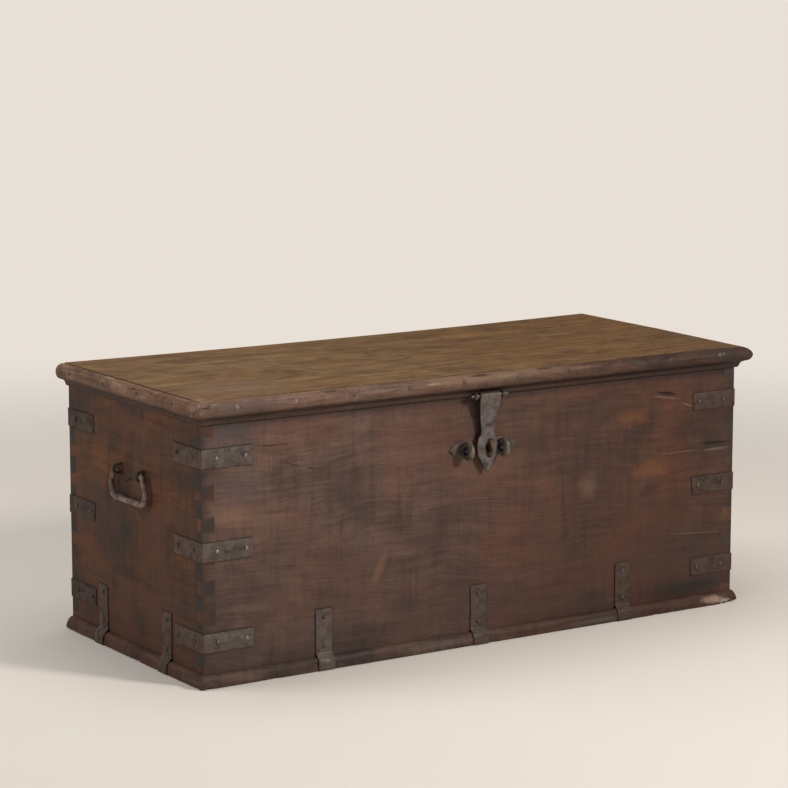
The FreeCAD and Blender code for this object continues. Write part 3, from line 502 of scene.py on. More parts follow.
@dataclass(frozen=True)
class IronFinish:
    """Forged iron, grey-brown with rust in its hollows and hammered dents.

    far is multiplied into the right end as painted shade, ends into whatever lies past the end walls'
    faces. One setting gives the middle and radius of a hole whose inside is painted dark as shade;
    another the height over which the iron takes a painted shadow of the lid's nose, with a darker,
    browner band of rust and painted shade below it.
    """

    name: str
    worn: Hue
    body: Hue
    rust: Hue = (92, 62, 44)
    black: Hue = (44, 37, 33)
    rusty: float = 0.5
    metal: float = 0.25
    rough: float = 0.58
    relief: float = 0.0005
    gloss: float = 0.45
    far: Hue = WHITE
    right_shade_span: Flat = (-0.5, 0.4)
    ends: Hue = WHITE
    bore_shade: tuple[float, ...] = ()
    bore_shade_hue: Hue = (8, 7, 6)
    shadowed_above: float = 0.0

    def build(self) -> Material:
        """Makes the material."""
        shader = Shader(self.name)
        place = shader.add("ShaderNodeTexCoord").outputs["Object"]
        parts = shader.split(place)
        mottle = shader.noise(place, 70.0, 5.0, 0.65, 0.4)
        pits = shader.noise(place, 260.0, 3.0, 0.6)
        patches = shader.noise(place, 28.0, 4.0, 0.6, 0.8)
        dents = shader.noise(place, 95.0, 1.0, 0.4)
        colour = shader.ramp(mottle, list(zip(IRON_STOPS, (self.black, self.body, self.worn))))
        colour = shader.tint(shader.between(patches, 0.46, 0.66, 0.0, self.rusty), colour, self.rust)
        colour = shader.tint(shader.between(pits, 0.3, 0.46, 0.6, 0.0), colour, self.black)
        # Painted shade towards the right end: the far colour is multiplied in.
        if self.far != WHITE:
            colour = shader.multiply_hue(shader.between(parts["X"], *self.right_shade_span), colour, self.far)
        if self.ends != WHITE:
            beyond = shader.between(shader.math("ABSOLUTE", parts["X"]), SIZES.half_length - 0.0006,
                                    SIZES.half_length + 0.0002)
            colour = shader.multiply_hue(beyond, colour, self.ends)
        # Painted shade inside a hole: its bore is painted near black.
        if self.bore_shade:
            middle_y, middle_z, radius = self.bore_shade
            away = shader.vector("SUBTRACT", place, (0.0, middle_y, middle_z))
            away = shader.vector("LENGTH", shader.vector("MULTIPLY", away, (0.0, 1.0, 1.0)))
            hole = shader.between(away, radius, radius + 0.0012, 1.0, 0.0)
            colour = shader.tint(hole, colour, self.bore_shade_hue)
        # Painted shadow of the lid's nose over the hasp's top, with a band of rust and painted shade
        # below.
        if self.shadowed_above:
            top = self.shadowed_above
            rust_and_shade = shader.between(parts["Z"], top - 0.04, top, 0.0, 0.5)
            nose_shadow = shader.between(parts["Z"], top, top + 0.004, 0.0, 0.75)
            colour = shader.tint(nose_shadow, shader.tint(rust_and_shade, colour, self.rust), self.black)
        normal = shader.bump(shader.plus(shader.times(pits, 0.35), dents), self.relief)
        rough = shader.between(mottle, 0.3, 0.7, self.rough + 0.14, self.rough - 0.08)
        return shader.closed(shader.surface(colour, rough, normal, self.metal, self.gloss))


def strap_shade_and_dirt(corner: float, spots: Sequence[float]) -> tuple[tuple[float, float, float, float], ...]:
    """Where painted shade and dirt lie round a wall's straps.

    Args:
        corner: How far from the wall's middle the corner straps have theirs.
        spots: Where the upright straps stand.

    Returns:
        The middle and half size of each, along and up.
    """
    level = [(end * corner, height, 0.0475, 0.0155) for end in (-1, 1) for height in SIZES.strap_heights]
    return tuple(level + [(spot, 0.05, 0.0155, 0.0575) for spot in spots])


class Palette:
    """Every finish of the chest, each built once."""

    def __init__(self) -> None:
        """Builds the materials."""
        # Each far colour is painted shade over the right end of its pieces.
        self.front = WoodFinish(
            "teak_front", Grain.WALL_LONG, (70, 53, 46), (94, 72, 63), (114, 89, 78),
            far=(206, 178, 156), stains=0.45, low_dark=0.4, marks=FRONT_MARKS, red=(124, 78, 58),
            rubs=0.5, halos=strap_shade_and_dirt(0.527, SIZES.front_spots), dirt=WALL_END_DIRT).build()
        self.back = WoodFinish(
            "teak_back", Grain.WALL_LONG, (66, 49, 41), (88, 66, 55), (108, 83, 68),
            stains=0.45, low_dark=0.3, dirt=WALL_END_DIRT).build()
        self.end = WoodFinish(
            "teak_end", Grain.WALL_END, (60, 38, 25), (88, 56, 36), (116, 75, 48),
            stains=0.5, low_dark=0.35, streak=80.0, marks=END_MARKS, red=(134, 78, 47),
            halos=strap_shade_and_dirt(0.199, SIZES.end_spots),
            knots=(Knot((0.03, 0.225), 0.13, 0.1), Knot((0.185, 0.235), 0.05, 0.3))).build()
        self.lid = WoodFinish(
            "teak_lid", Grain.FLAT_LONG, (86, 64, 41), (116, 89, 59), (138, 110, 77),
            far=(238, 226, 210), stains=0.25, streak=130.0, rough=0.74, marks=LID_MARKS,
            rub_way="X", red=(124, 84, 52), soot=(66, 51, 38), blotch=26.0, gloss=0.12).build()
        self.edge_front = WoodFinish(
            "teak_edge_front", Grain.WALL_LONG, (76, 59, 48), (110, 86, 72), (140, 114, 96),
            far=(166, 146, 134), stains=0.5, streak=150.0, soot=(42, 32, 27), shaded_below=0.4735,
            red=(124, 82, 64), marks=NOSE_MARKS).build()
        self.base_front = WoodFinish(
            "teak_base_front", Grain.WALL_LONG, (56, 42, 36), (82, 62, 52), (108, 86, 73),
            far=(190, 174, 164), stains=0.5, streak=150.0, soot=(42, 32, 27), marks=BASE_MARKS).build()
        self.base_end = WoodFinish(
            "teak_base_end", Grain.WALL_END, (54, 38, 30), (80, 57, 45), (106, 80, 64),
            stains=0.5, streak=150.0, soot=(38, 30, 26)).build()
        self.edge_end = WoodFinish(
            "teak_edge_end", Grain.WALL_END, (80, 57, 43), (124, 93, 72), (162, 130, 104),
            stains=0.5, streak=150.0, soot=(42, 32, 27), shaded_below=0.4755, red=(132, 86, 62),
            marks=END_NOSE_MARKS).build()
        self.inside = WoodFinish(
            "teak_inside", Grain.FLAT_LONG, (92, 70, 55), (118, 92, 73), (136, 109, 88),
            stains=0.3, rough=0.75).build()
        self.batten = WoodFinish(
            "teak_batten", Grain.FLAT_DEEP, (86, 65, 51), (110, 85, 67), (128, 102, 82),
            stains=0.3, rough=0.72).build()
        self.strap = IronFinish(
            "iron_strap", (95, 83, 77), (81, 69, 63), rust=(80, 57, 43), black=(56, 46, 41),
            rusty=0.4, far=(198, 174, 156), ends=(246, 224, 206)).build()
        self.dark_strap = IronFinish(
            "iron_strap_dark", (72, 58, 50), (62, 49, 41), rust=(65, 45, 33), black=(44, 35, 30),
            rusty=0.4, far=(198, 174, 156), ends=(246, 224, 206)).build()
        self.plate = IronFinish(
            "iron_plate", (88, 75, 69), (72, 60, 54), rust=(74, 54, 43), black=(46, 38, 34),
            rusty=0.4).build()
        self.lock = IronFinish(
            "iron_lock", (108, 101, 99), (89, 81, 78), rust=(85, 69, 59), black=(52, 45, 41), rusty=0.3,
            metal=0.3, relief=0.0007, shadowed_above=0.4585).build()
        self.eyes = IronFinish(
            "iron_eyes", (122, 112, 100), (94, 84, 74), rust=(92, 74, 60), black=(46, 40, 36), rusty=0.4,
            metal=0.3, relief=0.0007, bore_shade=(-0.2662, SIZES.eye_z, 0.0076)).build()
        self.ring = IronFinish(
            "iron_ring", (124, 104, 84), (98, 80, 63), rust=(92, 66, 46), black=(40, 32, 27), rusty=0.4,
            metal=0.3, bore_shade=(-0.2618, SIZES.eye_z, 0.0062)).build()
        self.bail = IronFinish(
            "iron_bail", (158, 134, 120), (104, 84, 73), rusty=0.38, metal=0.3, rough=0.46).build()
        self.nail = IronFinish("iron_nail", (92, 78, 68), (70, 58, 50), rusty=0.35).build()
        self.lid_nail = IronFinish(
            "iron_nail_lid", (134, 126, 118), (98, 88, 80), rust=(84, 68, 56), rusty=0.3).build()
        self.bright_nail = IronFinish(
            "iron_nail_bright", (160, 153, 146), (116, 108, 101), rust=(92, 76, 64),
            rusty=0.25, metal=0.6, rough=0.4).build()


WALL_END_DIRT = (("X", 0.553, 0.585),)
FRONT_MARKS = (
    # The first two rows are painted shadow below the lid's lip.
    Mark((0.0, 0.462), (2.4, 0.026), (34, 26, 22), 0.78, ragged=0.35, soft=0.85),
    Mark((0.56, 0.46), (0.2, 0.03), (30, 24, 22), 0.5, soft=0.9),
    Mark((0.43, 0.11), (0.22, 0.07), (58, 45, 38), 0.42, soft=0.95),
    Mark((-0.53, 0.44), (0.085, 0.05), (74, 68, 67), 0.5, soft=0.9),
    Mark((-0.5, 0.34), (0.07, 0.05), (76, 69, 69), 0.4, soft=0.9),
    Mark((-0.52, 0.295), (0.05, 0.03), (132, 100, 80), 0.4, soft=0.9),
    Mark((0.0, 0.33), (0.1, 0.04), (128, 92, 70), 0.3, soft=0.95),
    Mark((0.335, 0.382), (0.055, 0.024), (126, 80, 46), 0.42, ragged=1.1, soft=0.95),
    Mark((0.377, 0.28), (0.06, 0.026), (120, 77, 46), 0.4, ragged=1.1, soft=0.95),
    Mark((0.235, 0.262), (0.032, 0.034), (120, 92, 72), 0.36, ragged=0.9, soft=0.9),
    Mark((0.272, 0.287), (0.014, 0.03), (52, 42, 36), 0.55, tilt=-20, soft=0.8),
    Mark((0.38, 0.243), (0.05, 0.014), (50, 38, 32), 0.5, tilt=22, soft=0.9),
    Mark((-0.22, 0.168), (0.012, 0.045), (126, 88, 72), 0.45, tilt=-24, soft=0.8),
    Mark((-0.16, 0.09), (0.06, 0.03), (56, 44, 40), 0.4, soft=0.9),
    Mark((0.24, 0.05), (0.05, 0.025), (44, 37, 33), 0.4, soft=0.9),
    Mark((-0.01, 0.325), (0.05, 0.03), (62, 50, 46), 0.35, soft=0.9),
    Mark((0.51, 0.045), (0.075, 0.018), (50, 46, 43), 0.5, soft=0.8),
    Mark((-0.437, 0.408), (0.03, 0.0022), (52, 40, 34), 0.7, ragged=1.2, sunk=0.0008),
    Mark((-0.4, 0.371), (0.03, 0.0014), (50, 38, 32), 0.85, tilt=-17, ragged=0.5, sunk=0.001),
    Mark((-0.36, 0.36), (0.016, 0.0014), (50, 38, 32), 0.85, tilt=-12, ragged=0.5, sunk=0.001),
    Mark((-0.43, 0.29), (0.055, 0.0018), (56, 44, 40), 0.6, tilt=2, ragged=0.8, sunk=0.0005),
    Mark((-0.34, 0.3), (0.04, 0.002), (54, 44, 38), 0.6, tilt=17, ragged=0.8, sunk=0.0005),
    Mark((0.02, 0.262), (0.075, 0.0014), (46, 36, 31), 0.7, tilt=-5, ragged=0.6, sunk=0.0004),
    Mark((0.413, 0.419), (0.034, 0.0036), (24, 19, 16), 0.9, tilt=-10, ragged=1.0, sunk=0.0025),
    Mark((0.415, 0.411), (0.036, 0.0028), (122, 106, 96), 0.38, tilt=-10, ragged=1.3),
    Mark((0.467, 0.392), (0.022, 0.0018), (134, 116, 102), 0.42, tilt=-20, ragged=1.3),
    Mark((0.531, 0.313), (0.046, 0.0046), (22, 18, 15), 0.9, tilt=-2, ragged=0.9, sunk=0.0025),
    Mark((0.536, 0.302), (0.044, 0.0038), (112, 102, 94), 0.42, ragged=1.3),
    Mark((0.45, 0.3045), (0.07, 0.002), (120, 100, 87), 0.34, ragged=1.3),
    Mark((0.49, 0.144), (0.085, 0.002), (112, 93, 82), 0.34, tilt=-4, ragged=1.3),
    Mark((0.5, 0.14), (0.07, 0.0016), (40, 31, 27), 0.45, tilt=-4, ragged=1.2),
    Mark((0.47, 0.04), (0.15, 0.03), (32, 25, 22), 0.8, soft=0.95),
)
NOSE_MARKS = (
    Mark((-0.5, 0.484), (0.13, 0.02), (82, 70, 66), 0.5, soft=0.9),
    Mark((0.0, 0.492), (0.26, 0.014), (140, 110, 84), 0.42, soft=0.9),
    Mark((-0.592, 0.493), (0.012, 0.004), (150, 134, 114), 0.45, ragged=1.6, soft=0.8),
    Mark((-0.562, 0.4925), (0.014, 0.0026), (146, 128, 108), 0.35, ragged=1.6, soft=0.8),
    Mark((-0.574, 0.4905), (0.009, 0.0013), (34, 26, 21), 0.85, tilt=24, ragged=0.9),
    Mark((-0.553, 0.4885), (0.007, 0.0012), (34, 26, 21), 0.85, tilt=-30, ragged=0.9),
    Mark((-0.588, 0.4805), (0.008, 0.0022), (142, 126, 108), 0.45, tilt=40, ragged=1.4),
    Mark((-0.58, 0.4885), (0.012, 0.0018), (30, 22, 18), 0.85, ragged=0.9),
    Mark((-0.42, 0.492), (0.06, 0.004), (124, 104, 92), 0.35, ragged=1.3, soft=0.9),
    Mark((-0.24, 0.486), (0.05, 0.006), (128, 102, 86), 0.45, ragged=1.3, soft=0.9),
    Mark((-0.125, 0.488), (0.022, 0.003), (156, 138, 122), 0.55, ragged=1.5, soft=0.8),
    Mark((-0.02, 0.494), (0.03, 0.0022), (36, 28, 24), 0.8, ragged=0.9),
    Mark((0.035, 0.4905), (0.03, 0.005), (138, 112, 96), 0.4, ragged=1.4, soft=0.8),
    Mark((0.2, 0.49), (0.05, 0.004), (128, 100, 82), 0.4, ragged=1.2, soft=0.9),
    Mark((0.33, 0.488), (0.02, 0.006), (58, 60, 50), 0.5, ragged=1.0, soft=0.9),
    Mark((0.53, 0.487), (0.006, 0.005), (118, 112, 104), 0.7, ragged=0.8),
    Mark((0.1, 0.46), (0.6, 0.003), (92, 56, 42), 0.3, ragged=0.5, soft=0.8),
    Mark((0.53, 0.488), (0.1, 0.022), (54, 42, 37), 0.65, soft=0.9),
    Mark((-0.5, 0.4935), (0.016, 0.0024), (138, 118, 100), 0.3, ragged=1.5, soft=0.8),
    Mark((-0.33, 0.494), (0.022, 0.002), (40, 31, 26), 0.7, ragged=0.9),
    Mark((0.12, 0.4945), (0.025, 0.002), (40, 31, 26), 0.7, ragged=0.9),
)
END_NOSE_MARKS = (
    Mark((-0.262, 0.488), (0.012, 0.005), (146, 130, 110), 0.4, ragged=1.6, soft=0.8),
    Mark((-0.268, 0.4805), (0.006, 0.0016), (34, 26, 21), 0.8, tilt=-50, ragged=0.9),
    Mark((-0.256, 0.4815), (0.007, 0.0014), (34, 26, 21), 0.8, tilt=35, ragged=0.9),
    Mark((-0.262, 0.4765), (0.009, 0.002), (142, 126, 108), 0.45, tilt=-20, ragged=1.4),
    Mark((-0.245, 0.4765), (0.012, 0.003), (38, 30, 25), 0.6, ragged=1.2),
    Mark((-0.05, 0.492), (0.02, 0.002), (36, 28, 23), 0.75, ragged=1.0),
    Mark((-0.11, 0.4925), (0.014, 0.0018), (36, 28, 23), 0.75, ragged=1.0),
    Mark((0.0, 0.485), (0.012, 0.003), (144, 112, 90), 0.35, ragged=1.2),
    Mark((0.05, 0.484), (0.035, 0.012), (82, 62, 49), 0.4, soft=0.95),
    Mark((0.12, 0.484), (0.05, 0.006), (86, 58, 44), 0.4, ragged=0.9, soft=0.9),
    Mark((0.22, 0.482), (0.03, 0.01), (70, 52, 42), 0.5, ragged=0.9, soft=0.9),
)
BASE_MARKS = (
    Mark((0.525, 0.012), (0.035, 0.01), (152, 128, 112), 0.75, ragged=1.2, soft=0.7),
    Mark((0.555, 0.006), (0.02, 0.006), (168, 156, 146), 0.6, ragged=1.2, soft=0.7),
    Mark((-0.1, 0.012), (0.12, 0.008), (106, 96, 86), 0.4, ragged=1.0, soft=0.9),
    Mark((-0.5, 0.01), (0.06, 0.008), (96, 76, 66), 0.4, ragged=1.0, soft=0.9),
    Mark((0.25, 0.008), (0.1, 0.007), (98, 88, 80), 0.4, ragged=1.0, soft=0.9),
)
END_MARKS = (
    Mark((-0.039, 0.4), (0.0016, 0.03), (134, 104, 84), 0.55, ragged=0.6),
    Mark((0.03, 0.15), (0.07, 0.02), (46, 33, 27), 0.5, soft=0.9),
    Mark((0.06, 0.2), (0.11, 0.055), (48, 33, 25), 0.65, soft=0.95),
    Mark((-0.05, 0.14), (0.09, 0.012), (48, 34, 27), 0.45, tilt=3, soft=0.9),
    Mark((0.182, 0.237), (0.028, 0.014), (44, 33, 28), 0.7, tilt=-8, soft=0.7),
    Mark((-0.231, 0.313), (0.012, 0.03), (140, 84, 50), 0.5, soft=0.9),
    Mark((-0.238, 0.29), (0.008, 0.045), (132, 82, 52), 0.5, soft=0.9, ragged=0.9),
    Mark((-0.236, 0.262), (0.0022, 0.016), (150, 128, 108), 0.7, tilt=-18, ragged=1.0),
    Mark((-0.235, 0.15), (0.01, 0.05), (124, 76, 48), 0.4, soft=0.9, ragged=0.9),
    Mark((0.02, 0.42), (0.1, 0.03), (116, 74, 52), 0.35, soft=0.95),
    Mark((-0.15, 0.26), (0.08, 0.012), (50, 36, 29), 0.4, soft=0.9),
)
LID_MARKS = (
    Mark((-0.46, -0.16), (0.16, 0.1), (120, 103, 88), 0.4, soft=0.95),
    Mark((-0.568, -0.222), (0.022, 0.0022), (140, 122, 100), 0.4, tilt=44, ragged=1.5, soft=0.8),
    Mark((-0.55, -0.235), (0.016, 0.0016), (42, 32, 25), 0.8, tilt=-12, ragged=1.0),
    Mark((-0.53, -0.226), (0.013, 0.0014), (42, 32, 25), 0.7, tilt=30, ragged=1.0),
    Mark((-0.5, -0.246), (0.03, 0.0014), (46, 35, 27), 0.6, ragged=1.0),
    Mark((-0.5838, 0.0), (0.0022, 0.4), (48, 36, 27), 0.6, ragged=0.75, soft=0.7, sunk=0.0007),
    Mark((-0.572, -0.234), (0.02, 0.02), (132, 113, 92), 0.4, ragged=1.6, soft=0.85),
    Mark((-0.56, -0.244), (0.012, 0.004), (40, 30, 24), 0.85, tilt=24, ragged=0.9),
    Mark((-0.1, -0.2555), (0.5, 0.0016), (52, 39, 29), 0.6, ragged=0.6, soft=0.8),
    Mark((-0.35, 0.05), (0.16, 0.05), (128, 104, 92), 0.3, soft=0.95),
    Mark((0.25, 0.13), (0.14, 0.03), (140, 104, 58), 0.35, soft=0.95),
    Mark((0.1, 0.18), (0.16, 0.025), (108, 72, 48), 0.35, soft=0.95),
    Mark((0.42, 0.1), (0.1, 0.03), (98, 72, 50), 0.4, soft=0.95),
    Mark((-0.2, 0.03), (0.18, 0.006), (88, 68, 50), 0.45, tilt=1, soft=0.9, ragged=0.8),
    Mark((0.05, -0.04), (0.12, 0.004), (84, 64, 48), 0.5, tilt=-1, soft=0.9, ragged=0.8),
    Mark((-0.3, 0.225), (0.3, 0.02), (118, 80, 50), 0.4, soft=0.95),
)


# Mesh helpers


def make_piece(name: str, vertices: Iterable[Sequence[float]], faces: Iterable[Sequence[int]],
               material: Material, smooth: float = 40.0) -> Piece:
    """Makes an object of a mesh, with its faces turned outward.

    Args:
        name: The piece's name.
        vertices: Its points, in metres.
        faces: Its faces as numbers of points.
        material: Its finish.
        smooth: Edges sharper than this many degrees stay sharp.

    Returns:
        The object.
    """
    mesh = bpy.data.meshes.new(name)
    mesh.from_pydata([tuple(vertex) for vertex in vertices], [], [tuple(face) for face in faces])
    work = bmesh.new()
    work.from_mesh(mesh)
    bmesh.ops.remove_doubles(work, verts=work.verts, dist=0.000001)
    bmesh.ops.recalc_face_normals(work, faces=work.faces)
    work.to_mesh(mesh)
    work.free()
    mesh.materials.append(material)
    mesh.shade_smooth()
    mesh.set_sharp_from_angle(angle=math.radians(smooth))
    piece = bpy.data.objects.new(name, mesh)
    bpy.context.scene.collection.objects.link(piece)
    return piece


class Rings:
    """Builds a closed skin from rings of points."""

    def __init__(self) -> None:
        """Starts with nothing."""
        self.vertices: list[Vector] = []
        self.faces: list[list[int]] = []

    def skin(self, rings: Sequence[Sequence[Vector]], looped: bool = False) -> None:
        """Adds a skin over rings, each of the same count, and caps its ends.

        Args:
            rings: The rings in order.
            looped: True if the last ring joins the first, with no caps.
        """
        start = len(self.vertices)
        count = len(rings[0])
        for ring in rings:
            self.vertices.extend(ring)
        spans = len(rings) if looped else len(rings) - 1
        for row in range(spans):
            near = start + row * count
            far = start + (row + 1) % len(rings) * count
            for step in range(count):
                after = (step + 1) % count
                self.faces.append([near + step, near + after, far + after, far + step])
        if not looped:
            last = start + (len(rings) - 1) * count
            self.faces.append([start + step for step in reversed(range(count))])
            self.faces.append([last + step for step in range(count)])

    def piece(self, name: str, material: Material, smooth: float = 40.0) -> Piece:
        """Makes the piece."""
        return make_piece(name, self.vertices, self.faces, material, smooth)


def lumps(place: Vector, fineness: float, seed: float = 0.0) -> float:
    """Smooth noise from about -1 to 1 at a place."""
    return noise.noise(place * fineness + Vector((seed, seed * 1.7, seed * 0.6)))


def clamped(value: float) -> float:
    """A number held between zero and one."""
    return min(max(value, 0.0), 1.0)


def round_ways(sides: int, turned: float = 0.0) -> list[Flat]:
    """Directions evenly round a circle, as cosines and sines."""
    angles = [2 * math.pi * (number + turned) / sides for number in range(sides)]
    return [(math.cos(angle), math.sin(angle)) for angle in angles]


def upright(points: Iterable[Flat], x: float, y: float, z: float) -> list[Vector]:
    """Flat points, across and up, stood in the plane at x about a middle."""
    return [Vector((x, y + across, z + up)) for across, up in points]


def slab(outline: Sequence[Flat], x: float, z: float, depths: Sequence[float]) -> list[list[Vector]]:
    """An outline, across and up, as rings at some depths in the wall."""
    return [[Vector((x + across, y, z + up)) for across, up in outline] for y in depths]


def spline(before: float, first: float, last: float, after: float, share: float) -> float:
    """A value between the middle two of four, on a smooth curve through all of them."""
    bend = share * (3 * (first - last) + after - before)
    return first + 0.5 * share * (last - before + share * (
        2 * before - 5 * first + 4 * last - after + bend))


def near_four(points: Sequence[Flat], number: int) -> list[Flat]:
    """The ends of a line's numbered span, with the point before and the point after them."""
    last = len(points) - 1
    return [points[min(max(number + step, 0), last)] for step in (-1, 0, 1, 2)]


def smooth_line(points: Sequence[Flat], steps: int) -> list[Flat]:
    """A smooth line through flat points."""
    found: list[Flat] = []
    for number in range(len(points) - 1):
        near = near_four(points, number)
        for step in range(steps):
            share = step / steps
            found.append(tuple(spline(*(point[axis] for point in near), share) for axis in (0, 1)))
    found.append(points[-1])
    return found


def rounded_box(half_wide: float, half_thick: float, ease: float, steps: int = 3) -> list[Flat]:
    """The outline of a flat bar's section with eased corners."""
    outline: list[Flat] = []
    corners = ((1, 1, 0), (-1, 1, 90), (-1, -1, 180), (1, -1, 270))
    for across, up, begin in corners:
        for step in range(steps + 1):
            angle = math.radians(begin + 90 * step / steps)
            outline.append((across * (half_wide - ease) + ease * math.cos(angle),
                            up * (half_thick - ease) + ease * math.sin(angle)))
    return outline


def bent_line(corners: Sequence[Flat], bend: float, step: float = 0.003) -> list[Flat]:
    """Points along a flat path whose inner corners are taken in arcs.

    Args:
        corners: The path's corners.
        bend: The radius of the arcs.
        step: The distance between points.

    Returns:
        The points.
    """
    points: list[Flat] = []
    arcs: list[list[Vector]] = []
    flat = [Vector(corner) for corner in corners]
    for before, corner, after in zip(flat, flat[1:], flat[2:]):
        back, ahead = (before - corner).normalized(), (after - corner).normalized()
        turn = math.pi - back.angle(ahead)
        reach = bend * math.tan(turn / 2)
        middle = corner + (back + ahead).normalized() * (bend / math.cos(turn / 2))
        first = corner + back * reach - middle
        last = corner + ahead * reach - middle
        count = max(3, math.ceil(bend * turn / (step * 0.6)))
        sweep = math.atan2(first.x * last.y - first.y * last.x, first.dot(last))
        arc = []
        for number in range(count + 1):
            angle = sweep * number / count
            cosine, sine = math.cos(angle), math.sin(angle)
            arc.append(middle + Vector((first.x * cosine - first.y * sine,
                                        first.x * sine + first.y * cosine)))
        arcs.append(arc)
    stops = [[flat[0]]] + arcs + [[flat[-1]]]
    for here, following in zip(stops, stops[1:]):
        points.extend(tuple(point) for point in here)
        start, end = here[-1], following[0]
        count = int((end - start).length / step)
        for number in range(1, count):
            points.append(tuple(start.lerp(end, number / count)))
    points.extend(tuple(point) for point in stops[-1])
    return points


def headings(points: Sequence[Vector]) -> list[Vector]:
    """The direction of a path at each of its points."""
    last = len(points) - 1
    return [(points[min(number + 1, last)] - points[max(number - 1, 0)]).normalized()
            for number in range(len(points))]


def forged_tube(path: Sequence[Vector], side: Vector, radius: Callable[[float], float],
                rough: float, sides: int, seed: float = 0.0) -> list[list[Vector]]:
    """Rings of a round forged bar along a flat path, with domed ends.

    Args:
        path: The path's points.
        side: The direction square to the path's plane.
        radius: The bar's radius at a share of its length.
        rough: How far hammering moves its skin.
        sides: Points in a ring.
        seed: Sets the hammering.

    Returns:
        The rings.
    """
    ways = headings(path)
    lengths = [0.0]
    for before, after in zip(path, path[1:]):
        lengths.append(lengths[-1] + (after - before).length)
    spots = []
    first, last = radius(0.0), radius(1.0)
    for turn in DOME_TURNS:
        drawn_in = ways[0] * first * (1 - math.sin(turn)) * 0.5
        spots.append((path[0] - drawn_in + ways[0] * first * 0.5, ways[0], 0.0,
                      math.cos(math.pi / 2 - turn)))
    for point, way, length in list(zip(path, ways, lengths))[1:-1]:
        if (point - path[0]).length > first * 0.6 and (point - path[-1]).length > last * 0.6:
            spots.append((point, way, length / lengths[-1], 1.0))
    for turn in reversed(DOME_TURNS):
        drawn_in = ways[-1] * last * (1 - math.sin(turn)) * 0.5
        spots.append((path[-1] - ways[-1] * last * 0.5 + drawn_in, ways[-1], 1.0,
                      math.cos(math.pi / 2 - turn)))
    rings = []
    for point, way, share, size in spots:
        across = way.cross(side).normalized()
        ring = []
        for level, up in round_ways(sides):
            out = across * level + side * up
            dent = rough * lumps(point + out * radius(share), HAMMER_FINENESS, seed)
            ring.append(point + out * (radius(share) * size + dent * size))
        rings.append(ring)
    return rings


def revolved(start: Vector, way: Vector, profile: Sequence[Flat], rough: float,
             sides: int = 36) -> list[list[Vector]]:
    """Rings round an axis, one for each (along, radius) point of a closed profile."""
    side = way.orthogonal().normalized()
    other = way.cross(side)
    rings = []
    for along, radius in profile:
        ring = []
        for level, up in round_ways(sides):
            out = side * level + other * up
            reach = radius + rough * lumps(start + out * radius, DENT_FINENESS)
            ring.append(start + way * along + out * reach)
        rings.append(ring)
    return rings


def refinish(piece: Piece, material: Material, chosen: Callable[[bpy.types.MeshPolygon], bool]) -> None:
    """Gives the chosen faces of a piece a second finish."""
    piece.data.materials.append(material)
    for polygon in piece.data.polygons:
        if chosen(polygon):
            polygon.material_index = 1


def dress(names: Iterable[str], material: Material) -> None:
    """Gives solids that stay as they are their finish."""
    for name in names:
        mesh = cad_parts[name].data
        mesh.materials.clear()
        mesh.materials.append(material)
        LOG.info("finish on %s: %s", name, material.name)


def settle(piece: Piece, body: str, slot: str, *nodes: str) -> None:
    """Makes a piece ride on its body and stand for its solids."""
    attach(piece, body)
    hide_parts(*nodes)
    LOG.info("made %s on %s for %s", piece.name, body, ", ".join(nodes))


# Case


@dataclass
class Case:
    """Walls and floor: their solids stay, in worn teak."""

    rows: tuple[str, ...] = ("bottom", "middle", "top")

    def dress(self, palette: Palette) -> None:
        """Gives each wall and floor board its finish."""
        dress((f"front_board_{row}" for row in self.rows), palette.front)
        dress((f"back_board_{row}" for row in self.rows), palette.back)
        dress((f"{end}_board_{row}" for end in ("left", "right") for row in self.rows), palette.end)
        dress((f"floor_board_{row}" for row in ("front", "middle", "back")), palette.inside)


# Lid


@dataclass
class Sag:
    """How the old lid's top has sunk: hollow along its back, low at the front right and its tip."""

    middle: float = 0.0035
    corner: float = 0.003
    right_tip: float = 0.0035
    half_span: float = 0.6
    middle_share: float = 0.55
    depth: float = 0.55
    half_depth: float = 0.25
    corner_from: float = 0.4
    corner_run: float = 0.2
    tip_from: float = 0.583
    tip_run: float = 0.019

    def at(self, place: Vector) -> float:
        """How far the lid's top lies below a flat one at a place, for its full height."""
        hollow = max(0.0, 1 - (place.x / self.half_span) ** 2) * self.middle * (
            self.middle_share + place.y / self.depth)
        share = clamped((place.x - self.corner_from) / self.corner_run)
        beyond = clamped((place.x - self.tip_from) / self.tip_run)
        hollow += self.right_tip * beyond * beyond
        return hollow + self.corner * share * share * clamped(-place.y / self.half_depth)

    def moved(self, place: Vector) -> Vector:
        """A point of the lid after sinking: its underside stays flat."""
        share = clamped((place.z - SIZES.wall_height) / SIZES.lid_thick)
        return Vector((place.x, place.y, place.z - self.at(place) * share))


@dataclass
class Chip:
    """A spot where a moulding's edge has broken away."""

    along: float
    height: float
    size: Flat
    depth: float


@dataclass(frozen=True)
class ChipSet:
    """A moulding's chips: large ones where they are seen, and small ones scattered between.

    wide, tall and deep are the least and greatest half width, half height and depth of the
    small ones.
    """

    large: dict[Side, tuple[Chip, ...]]
    heights: tuple[float, ...]
    wide: Flat
    tall: Flat
    deep: Flat

    def on(self, side: Side, count: int, seed: int) -> tuple[Chip, ...]:
        """The chips of one run.

        Args:
            side: The side that the run is on.
            count: How many small ones it has.
            seed: Sets where they fall.

        Returns:
            The chips, the large ones first.
        """
        draw = random.Random(seed)
        half = SIZES.half_run(side)
        small = [Chip(draw.uniform(-half, half), draw.choice(self.heights),
                      (draw.uniform(*self.wide), draw.uniform(*self.tall)), draw.uniform(*self.deep))
                 for _ in range(count)]
        return self.large.get(side, ()) + tuple(small)


